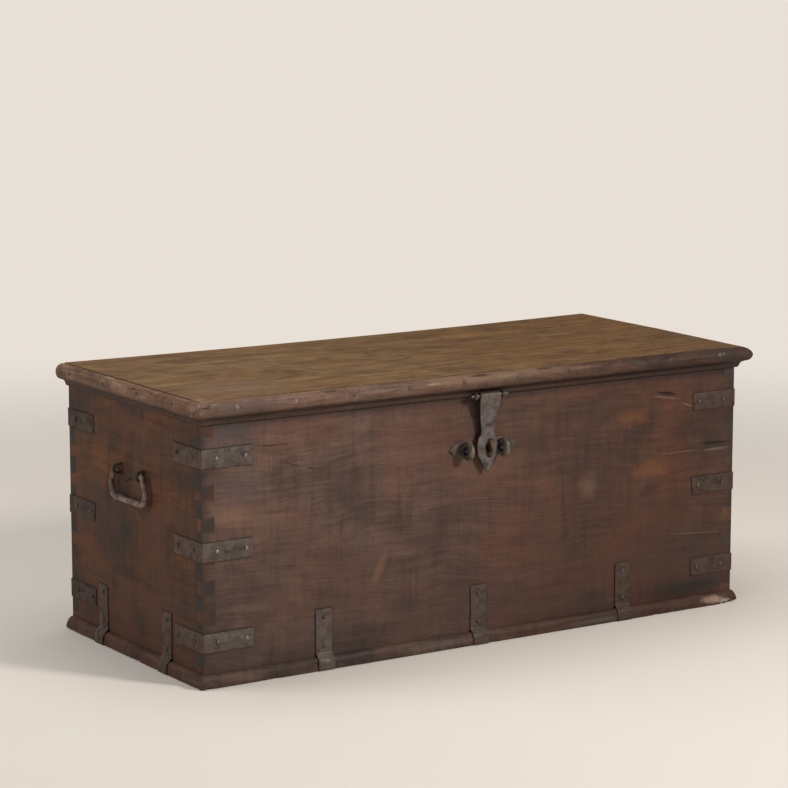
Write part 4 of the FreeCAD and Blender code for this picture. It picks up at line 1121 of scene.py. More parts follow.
LID_CHIPS = ChipSet(
    {
        Side.FRONT: (
            Chip(-0.596, 0.492, (0.012, 0.005), 0.0028),
            Chip(-0.578, 0.494, (0.008, 0.004), 0.0026),
            Chip(-0.545, 0.49, (0.013, 0.006), 0.0014),
            Chip(-0.02, 0.4955, (0.03, 0.002), 0.0022),
            Chip(0.02, 0.4945, (0.016, 0.003), 0.002),
            Chip(0.32, 0.487, (0.02, 0.008), 0.0016),
            Chip(0.56, 0.492, (0.014, 0.004), 0.002),
        ),
    },
    (0.470, 0.484, 0.494, 0.495), (0.004, 0.016), (0.0025, 0.006), (0.0004, 0.0014))
BASE_CHIPS = ChipSet(
    {
        Side.FRONT: (Chip(0.585, 0.018, (0.06, 0.026), 0.0085),
                     Chip(-0.57, 0.006, (0.015, 0.01), 0.0025)),
        Side.LEFT: (Chip(0.24, 0.006, (0.012, 0.01), 0.002),
                    Chip(-0.257, 0.018, (0.04, 0.02), 0.006)),
        Side.RIGHT: (Chip(-0.257, 0.018, (0.06, 0.026), 0.0085),),
        Side.BACK: (Chip(0.585, 0.018, (0.04, 0.02), 0.006),),
    },
    (0.002, 0.004, 0.012, 0.02), (0.004, 0.02), (0.003, 0.007), (0.0005, 0.002))


@dataclass
class WornMoulding:
    """A run of moulding with a worn, chipped outer face, mitred where it meets the next."""

    name: str
    side: Side
    profile: tuple[Flat, ...]
    outer: Callable[[Flat], float]
    start_mitre: bool
    end_mitre: bool
    chips: tuple[Chip, ...] = ()
    step: float = 0.005
    wear: float = 0.0009
    wear_mix: Point = (0.55, 0.45, 0.3)
    corner: float = 7.0
    right_blunt: float = 2.5

    def spot(self, share: float, out: float, height: float) -> Vector:
        """A point of the run: share goes from its start to its end at that reach."""
        half = SIZES.half_run(self.side)
        start = -half - (out if self.start_mitre else 0.0)
        end = half + (out if self.end_mitre else 0.0)
        base = self.side.run * (start + (end - start) * share)
        return base + self.side.out * (SIZES.reach(self.side) + out) + UP * height

    def rounded(self, place: Vector) -> Vector:
        """Takes the sharp corner of two runs down a little, alike for both."""
        past_x, past_y = abs(place.x) - SIZES.half_length, abs(place.y) - SIZES.half_depth
        if past_x <= 0 or past_y <= 0:
            return place
        power = self.corner if place.x < 0 else self.corner * self.right_blunt
        scale = max(past_x, past_y) / (past_x ** power + past_y ** power) ** (1 / power)
        return Vector((math.copysign(SIZES.half_length + past_x * scale, place.x),
                       math.copysign(SIZES.half_depth + past_y * scale, place.y), place.z))

    def worn(self, place: Vector, out: float, height: float) -> float:
        """How far the face has worn in at a place."""
        amount = self.outer((out, height))
        if amount <= 0:
            return 0.0
        level, broad, fine = self.wear_mix
        loss = self.wear * (level + broad * lumps(place, 11.0) + fine * lumps(place, 46.0))
        along = place.dot(self.side.run)
        for chip in self.chips:
            away = math.hypot((along - chip.along) / chip.size[0], (height - chip.height) / chip.size[1])
            away += 0.35 * lumps(place, 160.0, 3.0)
            if away < 1:
                loss += chip.depth * (1 - away * away)
        return max(loss, 0.0) * amount

    def build(self, material: Material, sag: Optional[Sag] = None) -> Piece:
        """Makes the run."""
        half = SIZES.half_run(self.side)
        count = round(2 * half / self.step)
        centre = Vector((sum(point[0] for point in self.profile) / len(self.profile),
                         sum(point[1] for point in self.profile) / len(self.profile)))
        rings = []
        for number in range(count + 1):
            share = number / count
            ring = []
            for out, height in self.profile:
                place = self.spot(share, out, height)
                inward = (centre - Vector((out, height))).normalized()
                loss = self.worn(place, out, height)
                place = self.rounded(self.spot(share, out + inward.x * loss, height + inward.y * loss))
                ring.append(sag.moved(place) if sag else place)
            rings.append(ring)
        skin = Rings()
        skin.skin(rings)
        return skin.piece(self.name, material, smooth=32.0)


def arc_points(centre: Flat, radii: Flat, begin: float, end: float, count: int) -> list[Flat]:
    """Points on an ellipse's arc, angles in degrees."""
    points = []
    for number in range(count + 1):
        angle = math.radians(begin + (end - begin) * number / count)
        points.append((centre[0] + radii[0] * math.cos(angle), centre[1] + radii[1] * math.sin(angle)))
    return points


@dataclass
class Lid:
    """Lid boards, their rounded edge moulding and the battens inside."""

    groove: float = 0.0017
    nose: float = 0.026
    moulding_top: float = 0.497
    nose_bottom: float = 0.4682
    lip_bottom: float = 0.455
    lip_inner: float = 0.0015
    nose_flat: float = 0.0098
    cove: tuple[Flat, ...] = ((16.0, 467.9), (12.4, 466.8), (9.6, 465.2), (7.9, 463.0), (6.9, 460.4),
                              (6.1, 458.0), (5.2, 456.3), (4.2, 455.3), (3.2, 455.0))
    boards: tuple[str, ...] = ("front", "middle", "back")
    cell: float = 0.012
    ripple: float = 0.0004
    sag: Sag = field(default_factory=Sag)

    def profile(self) -> tuple[Flat, ...]:
        """The moulding's section: (outward, up) points round it."""
        middle = (self.moulding_top + self.nose_bottom) / 2
        hang = SIZES.lid_overhang
        top = arc_points((hang + self.groove, middle),
                         (self.nose - hang - self.groove, self.moulding_top - middle),
                         begin=90, end=0, count=16)
        under = arc_points((self.nose - self.nose_flat, middle),
                           (self.nose_flat, middle - self.nose_bottom), begin=-8, end=-72, count=9)
        points = [(self.lip_inner, self.lip_bottom), (self.lip_inner, SIZES.wall_height),
                  (hang, SIZES.wall_height), (hang, self.moulding_top - self.groove * 1.6)]
        points += top + under
        points += [(point[0] * MM, point[1] * MM) for point in self.cove]
        return tuple(points)

    def exposure(self, point: Flat) -> float:
        """How open to wear a point of the section is."""
        out, height = point
        if out <= SIZES.lid_overhang or height < self.nose_bottom - 0.0005:
            return 0.0
        return min(1.0, (out - SIZES.lid_overhang) / 0.006)

    def lines(self, low: float, high: float, ease_low: bool, ease_high: bool) -> list[float]:
        """Where a board's points lie along one axis, with one more beside each eased edge."""
        count = max(2, round((high - low) / self.cell))
        found = [low + (high - low) * number / count for number in range(count + 1)]
        if ease_low:
            found[1:1] = [low + self.groove]
        if ease_high:
            found[-1:-1] = [high - self.groove]
        return found

    def board(self, label: str, material: Material, under: Material) -> Piece:
        """A lid board whose top has sunk and whose outer edges are eased.

        Args:
            label: Which board it is.
            material: The finish of its top and edges.
            under: The finish of its underside.

        Returns:
            The board.
        """
        low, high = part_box(f"lid_board_{label}")
        front, back = label == "front", label == "back"
        xs = self.lines(low[0], high[0], True, True)
        ys = self.lines(low[1], high[1], front, back)
        eased_y = [low[1]] * front + [high[1]] * back
        vertices: list[Vector] = []
        for z in (low[2], high[2]):
            for y in ys:
                for x in xs:
                    drop = 0.0
                    if z == high[2]:
                        drop = self.groove if x in (low[0], high[0]) or y in eased_y else 0.0
                        drop += self.ripple * (0.5 + 0.5 * lumps(Vector((x, y * 4, z)), 9.0))
                    vertices.append(self.sag.moved(Vector((x, y, z - drop))))
        wide, deep = len(xs), len(ys)
        layer = wide * deep
        faces = []
        for row in range(deep - 1):
            for column in range(wide - 1):
                corner = row * wide + column
                quad = [corner, corner + 1, corner + wide + 1, corner + wide]
                faces.append([layer + index for index in quad])
                faces.append(list(reversed(quad)))
        rim = list(range(wide))
        rim += [row * wide + wide - 1 for row in range(1, deep)]
        rim += [(deep - 1) * wide + column for column in range(wide - 2, -1, -1)]
        rim += [row * wide for row in range(deep - 2, 0, -1)]
        for here, following in zip(rim, rim[1:] + rim[:1]):
            faces.append([here, following, layer + following, layer + here])
        piece = make_piece(f"lid_plank_{label}", vertices, faces, material, smooth=30.0)
        refinish(piece, under, lambda polygon: polygon.normal.z < -0.5)
        return piece

    def build(self, palette: Palette) -> None:
        """Makes the lid's boards and mouldings."""
        for label in self.boards:
            piece = self.board(label, palette.lid, palette.inside)
            settle(piece, "lid", "lid_wood", f"lid_board_{label}")
        runs = (
            (Side.FRONT, True, True, palette.edge_front, 34, 5),
            (Side.LEFT, False, True, palette.edge_end, 16, 8),
            (Side.RIGHT, True, False, palette.edge_end, 16, 9),
        )
        for side, start, end, material, count, seed in runs:
            label = side.name.lower()
            run = WornMoulding(f"lid_edge_{label}", side, self.profile(), self.exposure, start, end,
                               LID_CHIPS.on(side, count, seed))
            settle(run.build(material, self.sag), "lid", "trim_wood", f"lid_moulding_{label}")
        dress(("lid_batten_left", "lid_batten_right"), palette.batten)


@dataclass
class BaseEdge:
    """The quarter-round moulding round the foot."""

    height: float = 0.024
    proud: float = 0.011
    foot_ease: float = 0.0012

    def profile(self) -> tuple[Flat, ...]:
        """The moulding's section."""
        shoulder = self.height - self.proud
        points = [(0.0, 0.0), (0.0, self.height - 0.0005)]
        points += arc_points((0.0, shoulder), (self.proud, self.proud), begin=84, end=0, count=10)
        points += [(self.proud, height) for height in (0.009, 0.005, self.foot_ease)]
        points.append((self.proud - self.foot_ease, 0.0))
        return tuple(points)

    def exposure(self, point: Flat) -> float:
        """How open to wear a point of the section is."""
        return min(1.0, point[0] / 0.005)

    def build(self, palette: Palette) -> None:
        """Makes the four runs."""
        for number, side in enumerate(Side):
            label = side.name.lower()
            material = palette.base_front if side in (Side.FRONT, Side.BACK) else palette.base_end
            run = WornMoulding(f"base_edge_{label}", side, self.profile(), self.exposure, True, True,
                               BASE_CHIPS.on(side, 22, 20 + number), wear=0.0007)
            settle(run.build(material), "case", "trim_wood", f"base_moulding_{label}")


# Straps


@dataclass
class Straps:
    """Flat irons round the corners and up the foot of each wall."""

    leg: float = 0.098
    thick: float = 0.0018
    ease: float = 0.0006
    base_top: float = 0.108
    base_lift: float = 0.0005
    base_proud: float = 0.0111
    shoulder: float = 0.013
    bend: float = 0.006
    leg_steps: int = 24
    turn_steps: int = 7
    wave: float = 0.0004
    sway: float = 0.018
    end_narrow: float = 0.03
    end_thin: float = 0.35
    clear: float = 0.00002
    corner_clear: float = 0.0002
    base_clear: float = 0.0001

    def ribbon(self, skin: Rings, path: Sequence[Vector], outs: Sequence[Vector], wide: Vector,
               seed: float) -> None:
        """Adds a flat iron along a path on the wall's face, slimmer at its ends.

        Args:
            skin: Where it goes.
            path: Points on its inner face.
            outs: The outward direction at each point.
            wide: The direction of its width.
            seed: Sets its unevenness.
        """
        half_wide, half_thick = SIZES.strap_width / 2, self.thick / 2
        section = rounded_box(half_wide, half_thick, self.ease)
        rings = []
        for number, (point, out) in enumerate(zip(path, outs)):
            at_end = number in (0, len(path) - 1)
            along = Vector((number * 0.11, seed, 0.0))
            narrow = 1.0 - self.end_narrow * at_end + self.sway * lumps(along, 3.0, seed)
            thin = 1.0 - self.end_thin * at_end
            ring = []
            for across, up in section:
                shift = self.wave * lumps(Vector((number * 0.09, across * 70, seed)), 2.0, 4.0)
                lift = half_thick + up * thin - half_thick * (1 - thin)
                ring.append(point + wide * (across * narrow + shift) + out * (lift + self.clear))
            rings.append(ring)
        skin.skin(rings)

    def corner_path(self, start: Side, end: Side) -> tuple[list[Vector], list[Vector]]:
        """The inner line of a corner strap and its outward directions, from one wall to the next."""
        corner = start.out * SIZES.reach(start) + end.out * SIZES.reach(end)
        steps = self.leg_steps
        points = [corner - end.out * (self.leg * (1 - number / steps)) for number in range(steps + 1)]
        outs = [start.out] * (steps + 1)
        for number in range(1, self.turn_steps):
            angle = math.pi / 2 * number / self.turn_steps
            out = start.out * math.cos(angle) + end.out * math.sin(angle)
            points.append(corner + out * self.corner_clear)
            outs.append(out)
        points += [corner - start.out * (self.leg * number / steps) for number in range(steps + 1)]
        return points, outs + [end.out] * (steps + 1)

    def corner(self, label: str, start: Side, end: Side, seed: float, material: Material) -> Piece:
        """The three straps of one corner."""
        skin = Rings()
        path, outs = self.corner_path(start, end)
        for number, height in enumerate(SIZES.strap_heights):
            lifted = [point + UP * height for point in path]
            self.ribbon(skin, lifted, outs, UP, seed + number)
        return skin.piece(f"corner_irons_{label}", material, smooth=38.0)

    def base_path(self) -> tuple[list[Flat], list[Flat]]:
        """The inner line of a base strap, out and up, and its outward directions."""
        slope = math.sqrt(2) - 1
        reach = self.base_proud
        corners = [(0.0, self.base_top), (0.0, self.shoulder + reach * (1 + slope)),
                   (reach, self.shoulder + reach * slope), (reach, self.base_lift)]
        line = bent_line(corners, self.bend)
        outs: list[Flat] = []
        for number in range(len(line)):
            before, after = line[max(number - 1, 0)], line[min(number + 1, len(line) - 1)]
            way = Vector((after[0] - before[0], after[1] - before[1])).normalized()
            outs.append((-way.y, way.x))
        return line, outs

    def base(self, side: Side, seed: float, material: Material) -> Piece:
        """The upright straps of one wall."""
        skin = Rings()
        line, outs = self.base_path()
        long_wall = side in (Side.FRONT, Side.BACK)
        for number, spot in enumerate(SIZES.front_spots if long_wall else SIZES.end_spots):
            base = side.out * SIZES.reach(side) + side.run * spot
            path = [base + side.out * (out + self.base_clear) + UP * up for out, up in line]
            ways = [side.out * out + UP * up for out, up in outs]
            self.ribbon(skin, path, ways, side.run, seed + number * 2.3)
        return skin.piece(f"base_irons_{side.name.lower()}", material, smooth=38.0)

    def build(self, palette: Palette) -> None:
        """Makes every strap."""
        corners = {
            "front_left": (Side.FRONT, Side.LEFT),
            "front_right": (Side.RIGHT, Side.FRONT),
            "back_right": (Side.BACK, Side.RIGHT),
            "back_left": (Side.LEFT, Side.BACK),
        }
        for number, (label, (start, end)) in enumerate(corners.items()):
            finish = palette.dark_strap if label == "back_left" else palette.strap
            piece = self.corner(label, start, end, 3.0 * number, finish)
            settle(piece, "case", "strap_iron", f"corner_straps_{label}")
        for number, side in enumerate(Side):
            piece = self.base(side, 40.0 + 5 * number, palette.strap)
            settle(piece, "case", "strap_iron", f"base_straps_{side.name.lower()}")


# Nails


@dataclass
class Nails:
    """Rose-headed nails, each where its solid stands."""

    head_radius: float = 0.0042
    head_height: float = 0.0022
    head_dome: tuple[Flat, ...] = ((-0.00005, 0.93), (0.0005, 1.0), (0.0012, 0.9), (0.0019, 0.62),
                                   (0.0023, 0.26))
    tilt: float = 0.12
    hammered: float = 0.09
    sink: float = 0.0011
    shank_half: float = 0.0019
    shank_length: float = 0.018
    shank_taper: float = 0.35
    sides: int = 10
    lid_front: float = -0.265
    lid_front_spread: float = 1.2
    wall_front: float = -0.2505
    rubbed_before: float = -0.35

    def islands(self, node: str) -> list[list[Vector]]:
        """The separate nails of a node, as lists of their points."""
        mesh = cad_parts[node].data
        work = bmesh.new()
        work.from_mesh(mesh)
        bmesh.ops.remove_doubles(work, verts=work.verts, dist=0.000005)
        seen: set[int] = set()
        found = []
        for vertex in work.verts:
            if vertex.index in seen:
                continue
            stack, group = [vertex], []
            seen.add(vertex.index)
            while stack:
                here = stack.pop()
                group.append(here.co.copy())
                for edge in here.link_edges:
                    other = edge.other_vert(here)
                    if other.index not in seen:
                        seen.add(other.index)
                        stack.append(other)
            found.append(group)
        work.free()
        return found

    def aim(self, group: Sequence[Vector]) -> tuple[Vector, Vector]:
        """A nail's crown and its outward direction.

        Args:
            group: The nail's points.

        Returns:
            The middle of its crown and the direction that the crown faces.
        """
        low = Vector([min(point[axis] for point in group) for axis in range(3)])
        high = Vector([max(point[axis] for point in group) for axis in range(3)])
        size = high - low
        axis = max(range(3), key=lambda number: size[number])
        best = None
        for sign in (-1, 1):
            edge = high[axis] if sign > 0 else low[axis]
            crown = [point for point in group if abs(point[axis] - edge) < 0.0002]
            spread = max((point - crown[0]).length for point in crown)
            if best is None or spread > best[0]:
                centre = sum(crown, Vector()) / len(crown)
                way = Vector((0.0, 0.0, 0.0))
                way[axis] = sign
                best = (spread, centre, way)
        return best[1], best[2]

    def nail(self, skin: Rings, crown: Vector, out: Vector, seed: float, spread: float = 1.0) -> None:
        """Adds one nail.

        Args:
            skin: Where it goes.
            crown: The middle of its crown.
            out: The direction that the crown faces.
            seed: Sets its unevenness.
            spread: How wide its head is, as a share of a common one.
        """
        side = out.orthogonal().normalized()
        other = out.cross(side)
        crown = crown - out * self.sink
        seat = crown - out * self.head_height
        tilt = (side * lumps(crown, 31.0, seed) * self.tilt
                + other * lumps(crown, 27.0, seed + 5) * self.tilt)
        rings = []
        for lift, share in self.head_dome:
            ring = []
            for level, up in round_ways(self.sides, seed):
                way = side * level + other * up
                dent = 1 + self.hammered * lumps(crown + way, 9.0, seed)
                rise = min(lift * (1 + tilt.dot(way) * share * 3), self.head_height)
                ring.append(seat + way * (self.head_radius * spread * share * dent) + out * rise)
            rings.append(ring)
        skin.skin(rings)
        shank = []
        tip = self.shank_half * self.shank_taper
        for depth, half in ((0.0003, self.shank_half), (-self.shank_length, tip)):
            shank.append([seat + out * depth + side * across * half + other * up * half
                          for across, up in ((-1, -1), (1, -1), (1, 1), (-1, 1))])
        skin.skin(shank)

    def build(self, palette: Palette) -> None:
        """Makes every set of nails; those at the front left and in the lid above are rubbed bright."""
        draw = random.Random(11)
        rubbed = {
            "front_nails": (self.wall_front, palette.bright_nail),
            "lid_moulding_nails": (self.lid_front, palette.lid_nail),
        }
        sets = (
            ("front_nails", "case"), ("back_nails", "case"), ("left_nails", "case"),
            ("right_nails", "case"), ("lid_moulding_nails", "lid"), ("lid_underside_nails", "lid"),
        )
        for node, body in sets:
            skin = Rings()
            for group in self.islands(node):
                crown, out = self.aim(group)
                on_lid_front = node == "lid_moulding_nails" and crown.y < self.lid_front
                self.nail(skin, crown, out, draw.uniform(0, 9),
                          self.lid_front_spread if on_lid_front else 1.0)
            piece = skin.piece(f"rose_{node}", palette.nail, smooth=50.0)
            if node in rubbed:
                face, finish = rubbed[node]
                refinish(piece, finish, lambda polygon: (
                    polygon.center.x < self.rubbed_before and polygon.center.y < face))
            settle(piece, body, "nail_iron", node)


# Hasp and lock eyes


@dataclass(frozen=True)
class ForgedEye:
    """A forged eye about the lock bar's line: a rounded ring on a neck.

    radii are its reach outward and upward from the hole's middle, which stands at middle_y. neck
    is half the neck's height and how far behind the hole it begins.
    """

    half_thick: float
    bore: float
    radii: Flat
    neck: Flat
    middle_y: float
    sides: int = 56
    rounding: tuple[Flat, ...] = ((0.94, 0.0), (1.0, 0.12), (1.0, 0.3), (0.9, 0.62), (0.62, 0.9),
                                  (0.2, 1.0))
    hammered: float = 0.00025
    worn: float = 0.0002

    def add(self, skin: Rings, x: float, seed: float) -> None:
        """Adds the eye to a skin.

        Args:
            skin: Where it goes.
            x: Its middle along the chest.
            seed: Sets its hammering.
        """
        section = [(-across, out) for across, out in self.rounding] + list(reversed(self.rounding))
        rings = []
        for back, up in round_ways(self.sides):
            radius = 1 / math.hypot(back / self.radii[0], up / self.radii[1])
            reach = radius
            if back > 0:
                to_neck = self.neck[1] / back
                to_side = self.neck[0] / max(abs(up), 0.0001)
                reach = min(max(radius, min(to_neck, to_side)), to_neck)
            ring = []
            for across, out in section:
                here = self.bore + (reach - self.bore) * out
                spot = Vector((x + across * self.half_thick, self.middle_y + back * here,
                               SIZES.eye_z + up * here))
                if out > 0.05 and reach <= radius:
                    dent = self.hammered * lumps(spot, DENT_FINENESS, seed) - self.worn
                    spot += Vector((0, back, up)) * dent
                ring.append(spot)
            rings.append(ring)
        skin.skin(rings, looped=True)


@dataclass
class HaspSet:
    """The hasp on its cross pin, the staples of the pin and the eye in the hasp's slot."""

    thick: float = 0.0037
    slot_shift: float = 0.003
    slot_half: float = 0.0075
    slot_top: float = 0.080
    slot_bottom: float = 0.114
    eye_ring: ForgedEye = ForgedEye(0.0039, 0.0056, (0.0088, 0.0152), (0.0075, 0.0035), -0.2618)
    eye_shift: float = 0.0031
    eye_foot: Point = (0.0100, 0.0190, 0.003)
    roll_radius: float = 0.0064
    set_drop: float = 0.05
    bore: float = 0.0033
    pin_radius: float = 0.003
    pin_half: float = 0.041
    staple_x: float = 0.0295
    staple_wire: float = 0.0016
    set_back: float = 0.0073
    edge_ease: float = 0.0045
    slot_edge: float = 0.0012
    crowning: Flat = (0.66, 0.34)
    dent: float = 0.00022
    roll_half: float = 0.0217
    roll_ease: float = 0.0016
    row_step: float = 0.0022
    slot_rows: tuple[float, ...] = (0.0, 0.0002, 0.0008, 0.0018, 0.0032, 0.005, 0.0075)
    column_shares: tuple[float, ...] = (0.0, 0.18, 0.42, 0.7, 1.0)
    foot_depths: Flat = (-0.2582, -0.2555)
    outline: tuple[Flat, ...] = (
        (0.000, 21.6), (0.010, 21.4), (0.020, 20.2), (0.030, 18.0), (0.040, 15.9), (0.051, 14.2),
        (0.062, 12.8), (0.067, 12.9), (0.072, 14.8), (0.077, 17.9), (0.083, 20.2), (0.090, 21.3),
        (0.098, 21.3), (0.107, 19.6), (0.115, 15.9), (0.124, 10.8), (0.131, 6.4), (0.136, 3.0),
        (0.139, 0.9),
    )

    def half_width(self, drop: float) -> float:
        """Half the leaf's width at a drop below its axis, eased between the outline's points."""
        for number in range(len(self.outline) - 1):
            near = near_four(self.outline, number)
            low, high = near[1][0], near[2][0]
            if low <= drop <= high:
                share = (drop - low) / (high - low)
                return spline(*(point[1] for point in near), share) * MM
        return self.outline[-1][1] * MM

    def slot_reach(self, drop: float) -> float:
        """Half the slot's width at a drop."""
        if not self.slot_top < drop < self.slot_bottom:
            return 0.0
        edge = min(drop - self.slot_top, self.slot_bottom - drop)
        if edge >= self.slot_half:
            return self.slot_half
        return math.sqrt(max(self.slot_half ** 2 - (self.slot_half - edge) ** 2, 0.0))

    def leaf(self) -> tuple[list[Vector], list[list[int]]]:
        """The leaf's mesh: a crowned front, eased edges and an open slot."""
        length = self.outline[-1][0]
        drops = {number * self.row_step for number in range(65)} | {length}
        for inset in self.slot_rows:
            drops |= {self.slot_top + inset, self.slot_bottom - inset}
        rows = sorted(drop for drop in drops if drop <= length)
        eased = self.column_shares
        vertices: list[Vector] = []
        index: dict[tuple[int, int, int], int] = {}
        flat = SIZES.hasp_axis_y + self.set_back
        lean = self.roll_radius + self.set_back - self.thick
        rim, rise_in = self.crowning
        for row, drop in enumerate(rows):
            rise = max(0.0, 1 - drop / self.set_drop)
            back = flat - lean * rise * rise * (3 - 2 * rise)
            half, slot = self.half_width(drop), self.slot_reach(drop)
            middle = self.slot_shift if abs(self.slot_shift) < half * 0.6 else half * 0.3
            left = [-half + (middle - slot + half) * share for share in eased]
            right = [middle + slot + (half - middle - slot) * share for share in eased]
            for column, x in enumerate(left + right):
                edge = min(half - abs(x), self.edge_ease) / self.edge_ease
                if slot > 0:
                    to_slot = min(abs(x - middle + slot), abs(x - middle - slot))
                    edge = min(edge, (to_slot + self.slot_edge) / self.edge_ease)
                crown = 1 - (1 - max(edge, 0.0)) ** 2
                face = self.thick * (rim + rise_in * crown)
                face += self.dent * lumps(Vector((x, 0, drop)), 130.0)
                for layer, y in ((0, back), (1, back - min(face, self.thick + 0.0001))):
                    index[row, column, layer] = len(vertices)
                    vertices.append(Vector((x, y, SIZES.hasp_axis_z - drop)))
        faces: list[list[int]] = []

        def quad(*corners: tuple[int, int, int]) -> None:
            """Adds a face by its corners' rows, columns and layers."""
            faces.append([index[corner] for corner in corners])

        gap = len(eased) - 1
        last = len(eased) * 2 - 1
        spans = [column for column in range(last) if column != gap]
        for row in range(len(rows) - 1):
            below = row + 1
            for column in spans:
                for layer in (0, 1):
                    quad((row, column, layer), (row, column + 1, layer), (below, column + 1, layer),
                         (below, column, layer))
            slotted = self.slot_reach(rows[row]) + self.slot_reach(rows[below]) > 0
            for column in (0, last, gap, gap + 1) if slotted else (0, last):
                quad((row, column, 0), (row, column, 1), (below, column, 1), (below, column, 0))
        for row in (0, len(rows) - 1):
            for column in spans:
                quad((row, column, 0), (row, column + 1, 0), (row, column + 1, 1), (row, column, 1))
        return vertices, faces

    def hasp(self, material: Material) -> Piece:
        """The leaf and the roll that hangs on the pin."""
        skin = Rings()
        skin.vertices, skin.faces = self.leaf()
        half, ease, radius = self.roll_half, self.roll_ease, self.roll_radius
        near = [(0.0, self.bore), (0.0, radius - ease), (ease * 0.3, radius - ease * 0.3),
                (ease, radius)]
        far = [(2 * half - along, out) for along, out in reversed(near)]
        profile = near + [(half, radius + 0.0001)] + far
        start = Vector((-half, SIZES.hasp_axis_y, SIZES.hasp_axis_z))
        skin.skin(revolved(start, ALONG, profile, rough=0.00012), looped=True)
        return skin.piece("hasp_leaf", material, smooth=42.0)

    def pin(self, material: Material) -> Piece:
        """The cross pin, its ends hammered a little wider."""
        start = Vector((-self.pin_half, SIZES.hasp_axis_y, SIZES.hasp_axis_z))
        path = [start + Vector((2 * self.pin_half * number / 40, 0, 0)) for number in range(41)]
        skin = Rings()
        skin.skin(forged_tube(path, DEEP, lambda share: self.pin_radius, rough=0.00008, sides=14))
        return skin.piece("hasp_cross_pin", material)

    def staples(self, material: Material) -> Piece:
        """The two eyes of bent wire that carry the pin's ends."""
        skin = Rings()
        ring = self.pin_radius + 0.0018
        upper = [(0.0155, 0.0016), (0.004, 0.003), (ring * 0.5, ring * 0.95), (-ring * 0.35, ring)]
        loop = upper + [(-ring, 0.0)] + [(across, -up) for across, up in reversed(upper)]
        for end in (-1, 1):
            for offset in (-0.0013, 0.0014):
                x = self.staple_x * end + offset
                path = upright(smooth_line(loop, 5), x, SIZES.hasp_axis_y, SIZES.hasp_axis_z)
                skin.skin(forged_tube(path, ALONG, lambda share: self.staple_wire, rough=0.0001,
                                      sides=10, seed=x * 900))
        return skin.piece("hasp_wire_eyes", material)

    def eye(self, material: Material) -> Piece:
        """The ring fixed in the hasp's slot."""
        skin = Rings()
        self.eye_ring.add(skin, self.slot_shift + self.eye_shift, seed=3.0)
        skin.skin(slab(rounded_box(*self.eye_foot), self.slot_shift, SIZES.eye_z, self.foot_depths))
        return skin.piece("hasp_ring", material, smooth=45.0)

    def build(self, palette: Palette) -> None:
        """Makes the hasp and what goes with it."""
        settle(self.hasp(palette.lock), "hasp", "lock_iron", "hasp")
        settle(self.eye(palette.ring), "hasp", "lock_iron", "hasp_eye")
        settle(self.pin(palette.lock), "lid", "lock_iron", "hasp_pin")
        settle(self.staples(palette.lock), "lid", "lock_iron", "hasp_staples")


@dataclass
class LockEyes:
    """The two eyes on the wall and the leaf-shaped plates under them."""

    left_x: float = -0.045
    right_x: float = 0.0315
    ring: ForgedEye = ForgedEye(0.0054, 0.0072, (0.0164, 0.0178), (0.0098, 0.0174), -0.2662)
    tang: Point = (0.005, 0.0062, 0.001)
    plate_round: float = 0.017
    plate_points: Flat = (0.029, 0.039)
    plate_sides: int = 64
    plate_rim: tuple[Flat, ...] = ((0.00002, 1.0), (0.0018, 0.995), (0.0026, 0.95), (0.0029, 0.86),
                                   (0.003, 0.4))
    belly: float = 1.35
    tang_depths: Flat = (-0.2515, -0.2325)

    def eye(self, label: str, x: float, material: Material) -> Piece:
        """One eye with its tang in the wall."""
        skin = Rings()
        self.ring.add(skin, x, seed=x * 100)
        skin.skin(slab(rounded_box(*self.tang), x, SIZES.eye_z, self.tang_depths))
        return skin.piece(f"lock_ring_{label}", material, smooth=45.0)

    def plate(self, label: str, x: float, outward: int, material: Material) -> Piece:
        """One leaf-shaped plate with an eased, hammered rim."""
        point = self.plate_points[outward > 0]
        outline = []
        for across, up in round_ways(self.plate_sides):
            if across > 0:
                across = point / self.plate_round * across ** self.belly
                up = math.copysign(abs(up) ** self.belly, up)
            outline.append((across * self.plate_round * outward, up * self.plate_round))
        rings = []
        for lift, share in self.plate_rim:
            ring = []
            for across, up in outline:
                spot = Vector((x + across * share, -SIZES.half_depth - lift, SIZES.eye_z + up * share))
                spot.y += 0.00012 * lumps(spot, 150.0) * (lift > 0.001)
                ring.append(spot)
            rings.append(ring)
        skin = Rings()
        skin.skin(rings)
        return skin.piece(f"lock_leaf_plate_{label}", material, smooth=42.0)

    def build(self, palette: Palette) -> None:
        """Makes the eyes and plates."""
        for label, x, outward in (("left", self.left_x, -1), ("right", self.right_x, 1)):
            settle(self.eye(label, x, palette.eyes), "case", "lock_iron", f"lock_eye_{label}")
            plate = self.plate(label, x, outward, palette.plate)
            settle(plate, "case", "lock_iron", f"lock_plate_{label}")


# Bail handles


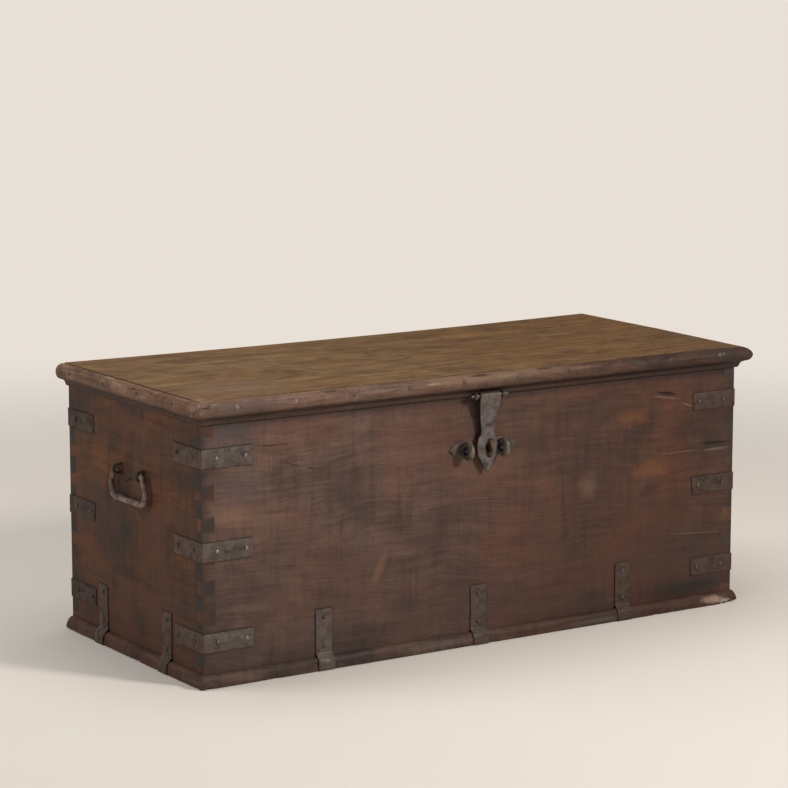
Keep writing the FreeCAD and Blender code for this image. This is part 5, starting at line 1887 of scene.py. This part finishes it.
@dataclass
class Bails:
    """Drop handles of forged bar, each in two staples."""

    radius: float = 0.0047
    corners: tuple[Flat, ...] = ((0.037, 0.0), (0.051, 0.0), (0.0645, -0.026), (0.0575, -0.0505))
    bend: float = 0.0128
    staple_y: float = 0.0435
    staple_wire: float = 0.0026
    staple_ring: float = 0.0079
    staple_leg: float = 0.0255
    tail: tuple[Flat, ...] = ((-0.0425, 0.003), (-0.02, -0.0015), (0.0, -0.0085), (0.015, -0.0145),
                              (0.029, -0.0195))
    tail_proud: float = 0.0018
    tail_radii: Flat = (0.0025, 0.0016)
    slender: Point = (0.92, 0.26, 0.7)

    def handle(self, label: str, sign: int, material: Material) -> Piece:
        """One bail, thickest in the middle of its grip."""
        mirrored = [(-across, up) for across, up in reversed(self.corners)]
        line = bent_line(list(self.corners) + mirrored, self.bend)
        path = upright(line, sign * SIZES.handle_axis_x, 0.0, SIZES.handle_z)
        least, more, power = self.slender
        skin = Rings()

        def size(share: float) -> float:
            """The bar's radius, slimmer where it turns in the staples."""
            return self.radius * (least + more * math.sin(math.pi * share) ** power)

        skin.skin(forged_tube(path, ALONG, size, rough=0.00025, sides=18, seed=3.0 + sign))
        return skin.piece(f"bail_{label}", material, smooth=60.0)

    def staples(self, label: str, sign: int, material: Material) -> Piece:
        """The two staples of one bail."""
        skin = Rings()
        ring = self.staple_ring
        line = [(-self.staple_leg, ring), (ring, ring), (ring, -ring), (-self.staple_leg, -ring)]
        flat = bent_line(line, ring * 0.999)
        for end in (-1, 1):
            y = self.staple_y * end
            path = [Vector((sign * (SIZES.handle_axis_x + out), y, SIZES.handle_z + up))
                    for out, up in flat]
            skin.skin(forged_tube(path, DEEP, lambda share: self.staple_wire, rough=0.00018, sides=12,
                                  seed=end * 2.0))
        if sign < 0:
            self.bent_tail(skin)
        return skin.piece(f"bail_staples_{label}", material, smooth=60.0)

    def bent_tail(self, skin: Rings) -> None:
        """Adds the tail of a mending nail, hammered over beside the left handle's near staple."""
        x = -SIZES.half_length - self.tail_proud
        path = upright(smooth_line(self.tail, 6), x, 0.0, SIZES.handle_z)
        start, end = self.tail_radii
        skin.skin(forged_tube(path, ALONG, lambda share: start + (end - start) * share, rough=0.0002,
                              sides=10))

    def build(self, palette: Palette) -> None:
        """Makes both handles with their staples."""
        for label, sign in (("left", -1), ("right", 1)):
            handle = self.handle(label, sign, palette.bail)
            settle(handle, f"handle_{label}", "lock_iron", f"handle_{label}")
            staples = self.staples(label, sign, palette.plate)
            settle(staples, "case", "lock_iron", f"handle_staples_{label}")


@dataclass
class Hinges:
    """The two lid hinges: their solids stay, in forged iron."""

    def dress(self, palette: Palette) -> None:
        """Gives the leaves and pins their finish."""
        names = [f"{kind}_{end}" for kind in ("hinge_leaf_case", "hinge_leaf_lid", "hinge_pin")
                 for end in ("left", "right")]
        dress(names, palette.strap)


# Studio


@dataclass
class Studio:
    """Plain pale floor, soft light and the camera at the photograph's angle."""

    eye: Point = (-2.8429, -4.3577, 1.3095)
    yaw: float = 0.5731
    pitch: float = 0.1692
    lens: float = 129.69
    floor_size: float = 60.0
    floor_hue: Hue = (232, 224, 214)
    near: float = 1.1
    far: float = 3.4
    key_power: float = 152.0
    top_power: float = 40.0
    fill_power: float = 34.0
    ambient: float = 0.27

    def camera(self) -> None:
        """Sets the camera."""
        data = bpy.data.cameras.new("camera")
        data.lens = self.lens
        data.sensor_width = 36.0
        data.clip_end = 200.0
        camera = bpy.data.objects.new("camera", data)
        camera.location = self.eye
        camera.rotation_euler = (math.pi / 2 - self.pitch, 0.0, -self.yaw)
        bpy.context.scene.collection.objects.link(camera)
        bpy.context.scene.camera = camera

    def floor(self) -> None:
        """A plain pale floor that keeps the chest's shadow and clears to the surround far off."""
        shader = Shader("pale_floor")
        place = shader.add("ShaderNodeTexCoord").outputs["Object"]
        lower = tuple(part - 4 for part in self.floor_hue)
        colour = shader.mix(shader.noise(place, 1.3, 2.0), linear(self.floor_hue), linear(lower))
        normal = shader.bump(shader.noise(place, 40.0, 2.0), 0.00005)
        ground = shader.surface(colour, 0.8, normal, gloss=0.1)
        rays = shader.add("ShaderNodeLightPath").outputs
        seen = shader.math("MAXIMUM", rays["Is Camera Ray"], rays["Is Glossy Ray"])
        away = shader.between(shader.vector("LENGTH", place), self.near, self.far)
        glow = shader.named("ShaderNodeEmission", {"Color": linear(self.floor_hue)})
        both = shader.fed("ShaderNodeMixShader", shader.times(seen, away), ground, glow.outputs[0])
        material = shader.closed(both.outputs[0])
        half = self.floor_size / 2
        corners = [(x * half, y * half, -0.0004) for x, y in ((-1, -1), (1, -1), (1, 1), (-1, 1))]
        make_piece("floor", corners, [(0, 1, 2, 3)], material)

    def lamp(self, name: str, place: Point, aim: Point, size: float, power: float,
             hue: Sequence[float]) -> None:
        """A soft square lamp."""
        data = bpy.data.lights.new(name, "AREA")
        data.shape = "SQUARE"
        data.size = size
        data.energy = power
        data.color = hue
        lamp = bpy.data.objects.new(name, data)
        lamp.location = place
        lamp.rotation_euler = (Vector(aim) - Vector(place)).to_track_quat("-Z", "Y").to_euler()
        bpy.context.scene.collection.objects.link(lamp)

    def world(self) -> None:
        """A pale surround that shows to the camera, and a plain ambient level for the light."""
        world = bpy.data.worlds.new("surround")
        bpy.context.scene.world = world
        world.use_nodes = True
        tree = Tree(world.node_tree)
        rays = tree.add("ShaderNodeLightPath").outputs
        seen = tree.math("MAXIMUM", rays["Is Camera Ray"], rays["Is Transmission Ray"])
        plain = tree.fed("ShaderNodeBackground", (1.0, 1.0, 1.0, 1.0), self.ambient)
        pale = tree.fed("ShaderNodeBackground", linear(self.floor_hue), 1.0)
        mixed = tree.fed("ShaderNodeMixShader", seen, plain.outputs[0], pale.outputs[0])
        tree.fed("ShaderNodeOutputWorld", mixed.outputs[0])

    def build(self) -> None:
        """Sets the whole studio."""
        self.camera()
        self.floor()
        self.world()
        self.lamp("key", (1.9, -3.8, 2.6), (0.0, 0.0, 0.3), 0.7, self.key_power, (1.0, 0.97, 0.93))
        self.lamp("top", (-0.4, 0.1, 3.2), (0.0, 0.0, 0.4), 2.4, self.top_power, (1.0, 0.98, 0.95))
        self.lamp("fill", (-3.2, 1.5, 2.2), (0.0, 0.0, 0.25), 1.8, self.fill_power, (0.97, 0.98, 1.0))
        bpy.context.scene.view_settings.view_transform = "Standard"
        LOG.info("studio set")


def main() -> None:
    """Builds the studio and every piece in order."""
    Studio().build()
    palette = Palette()
    Case().dress(palette)
    BaseEdge().build(palette)
    Straps().build(palette)
    Lid().build(palette)
    Nails().build(palette)
    HaspSet().build(palette)
    LockEyes().build(palette)
    Bails().build(palette)
    Hinges().dress(palette)


if __name__ == "__main__":
    main()
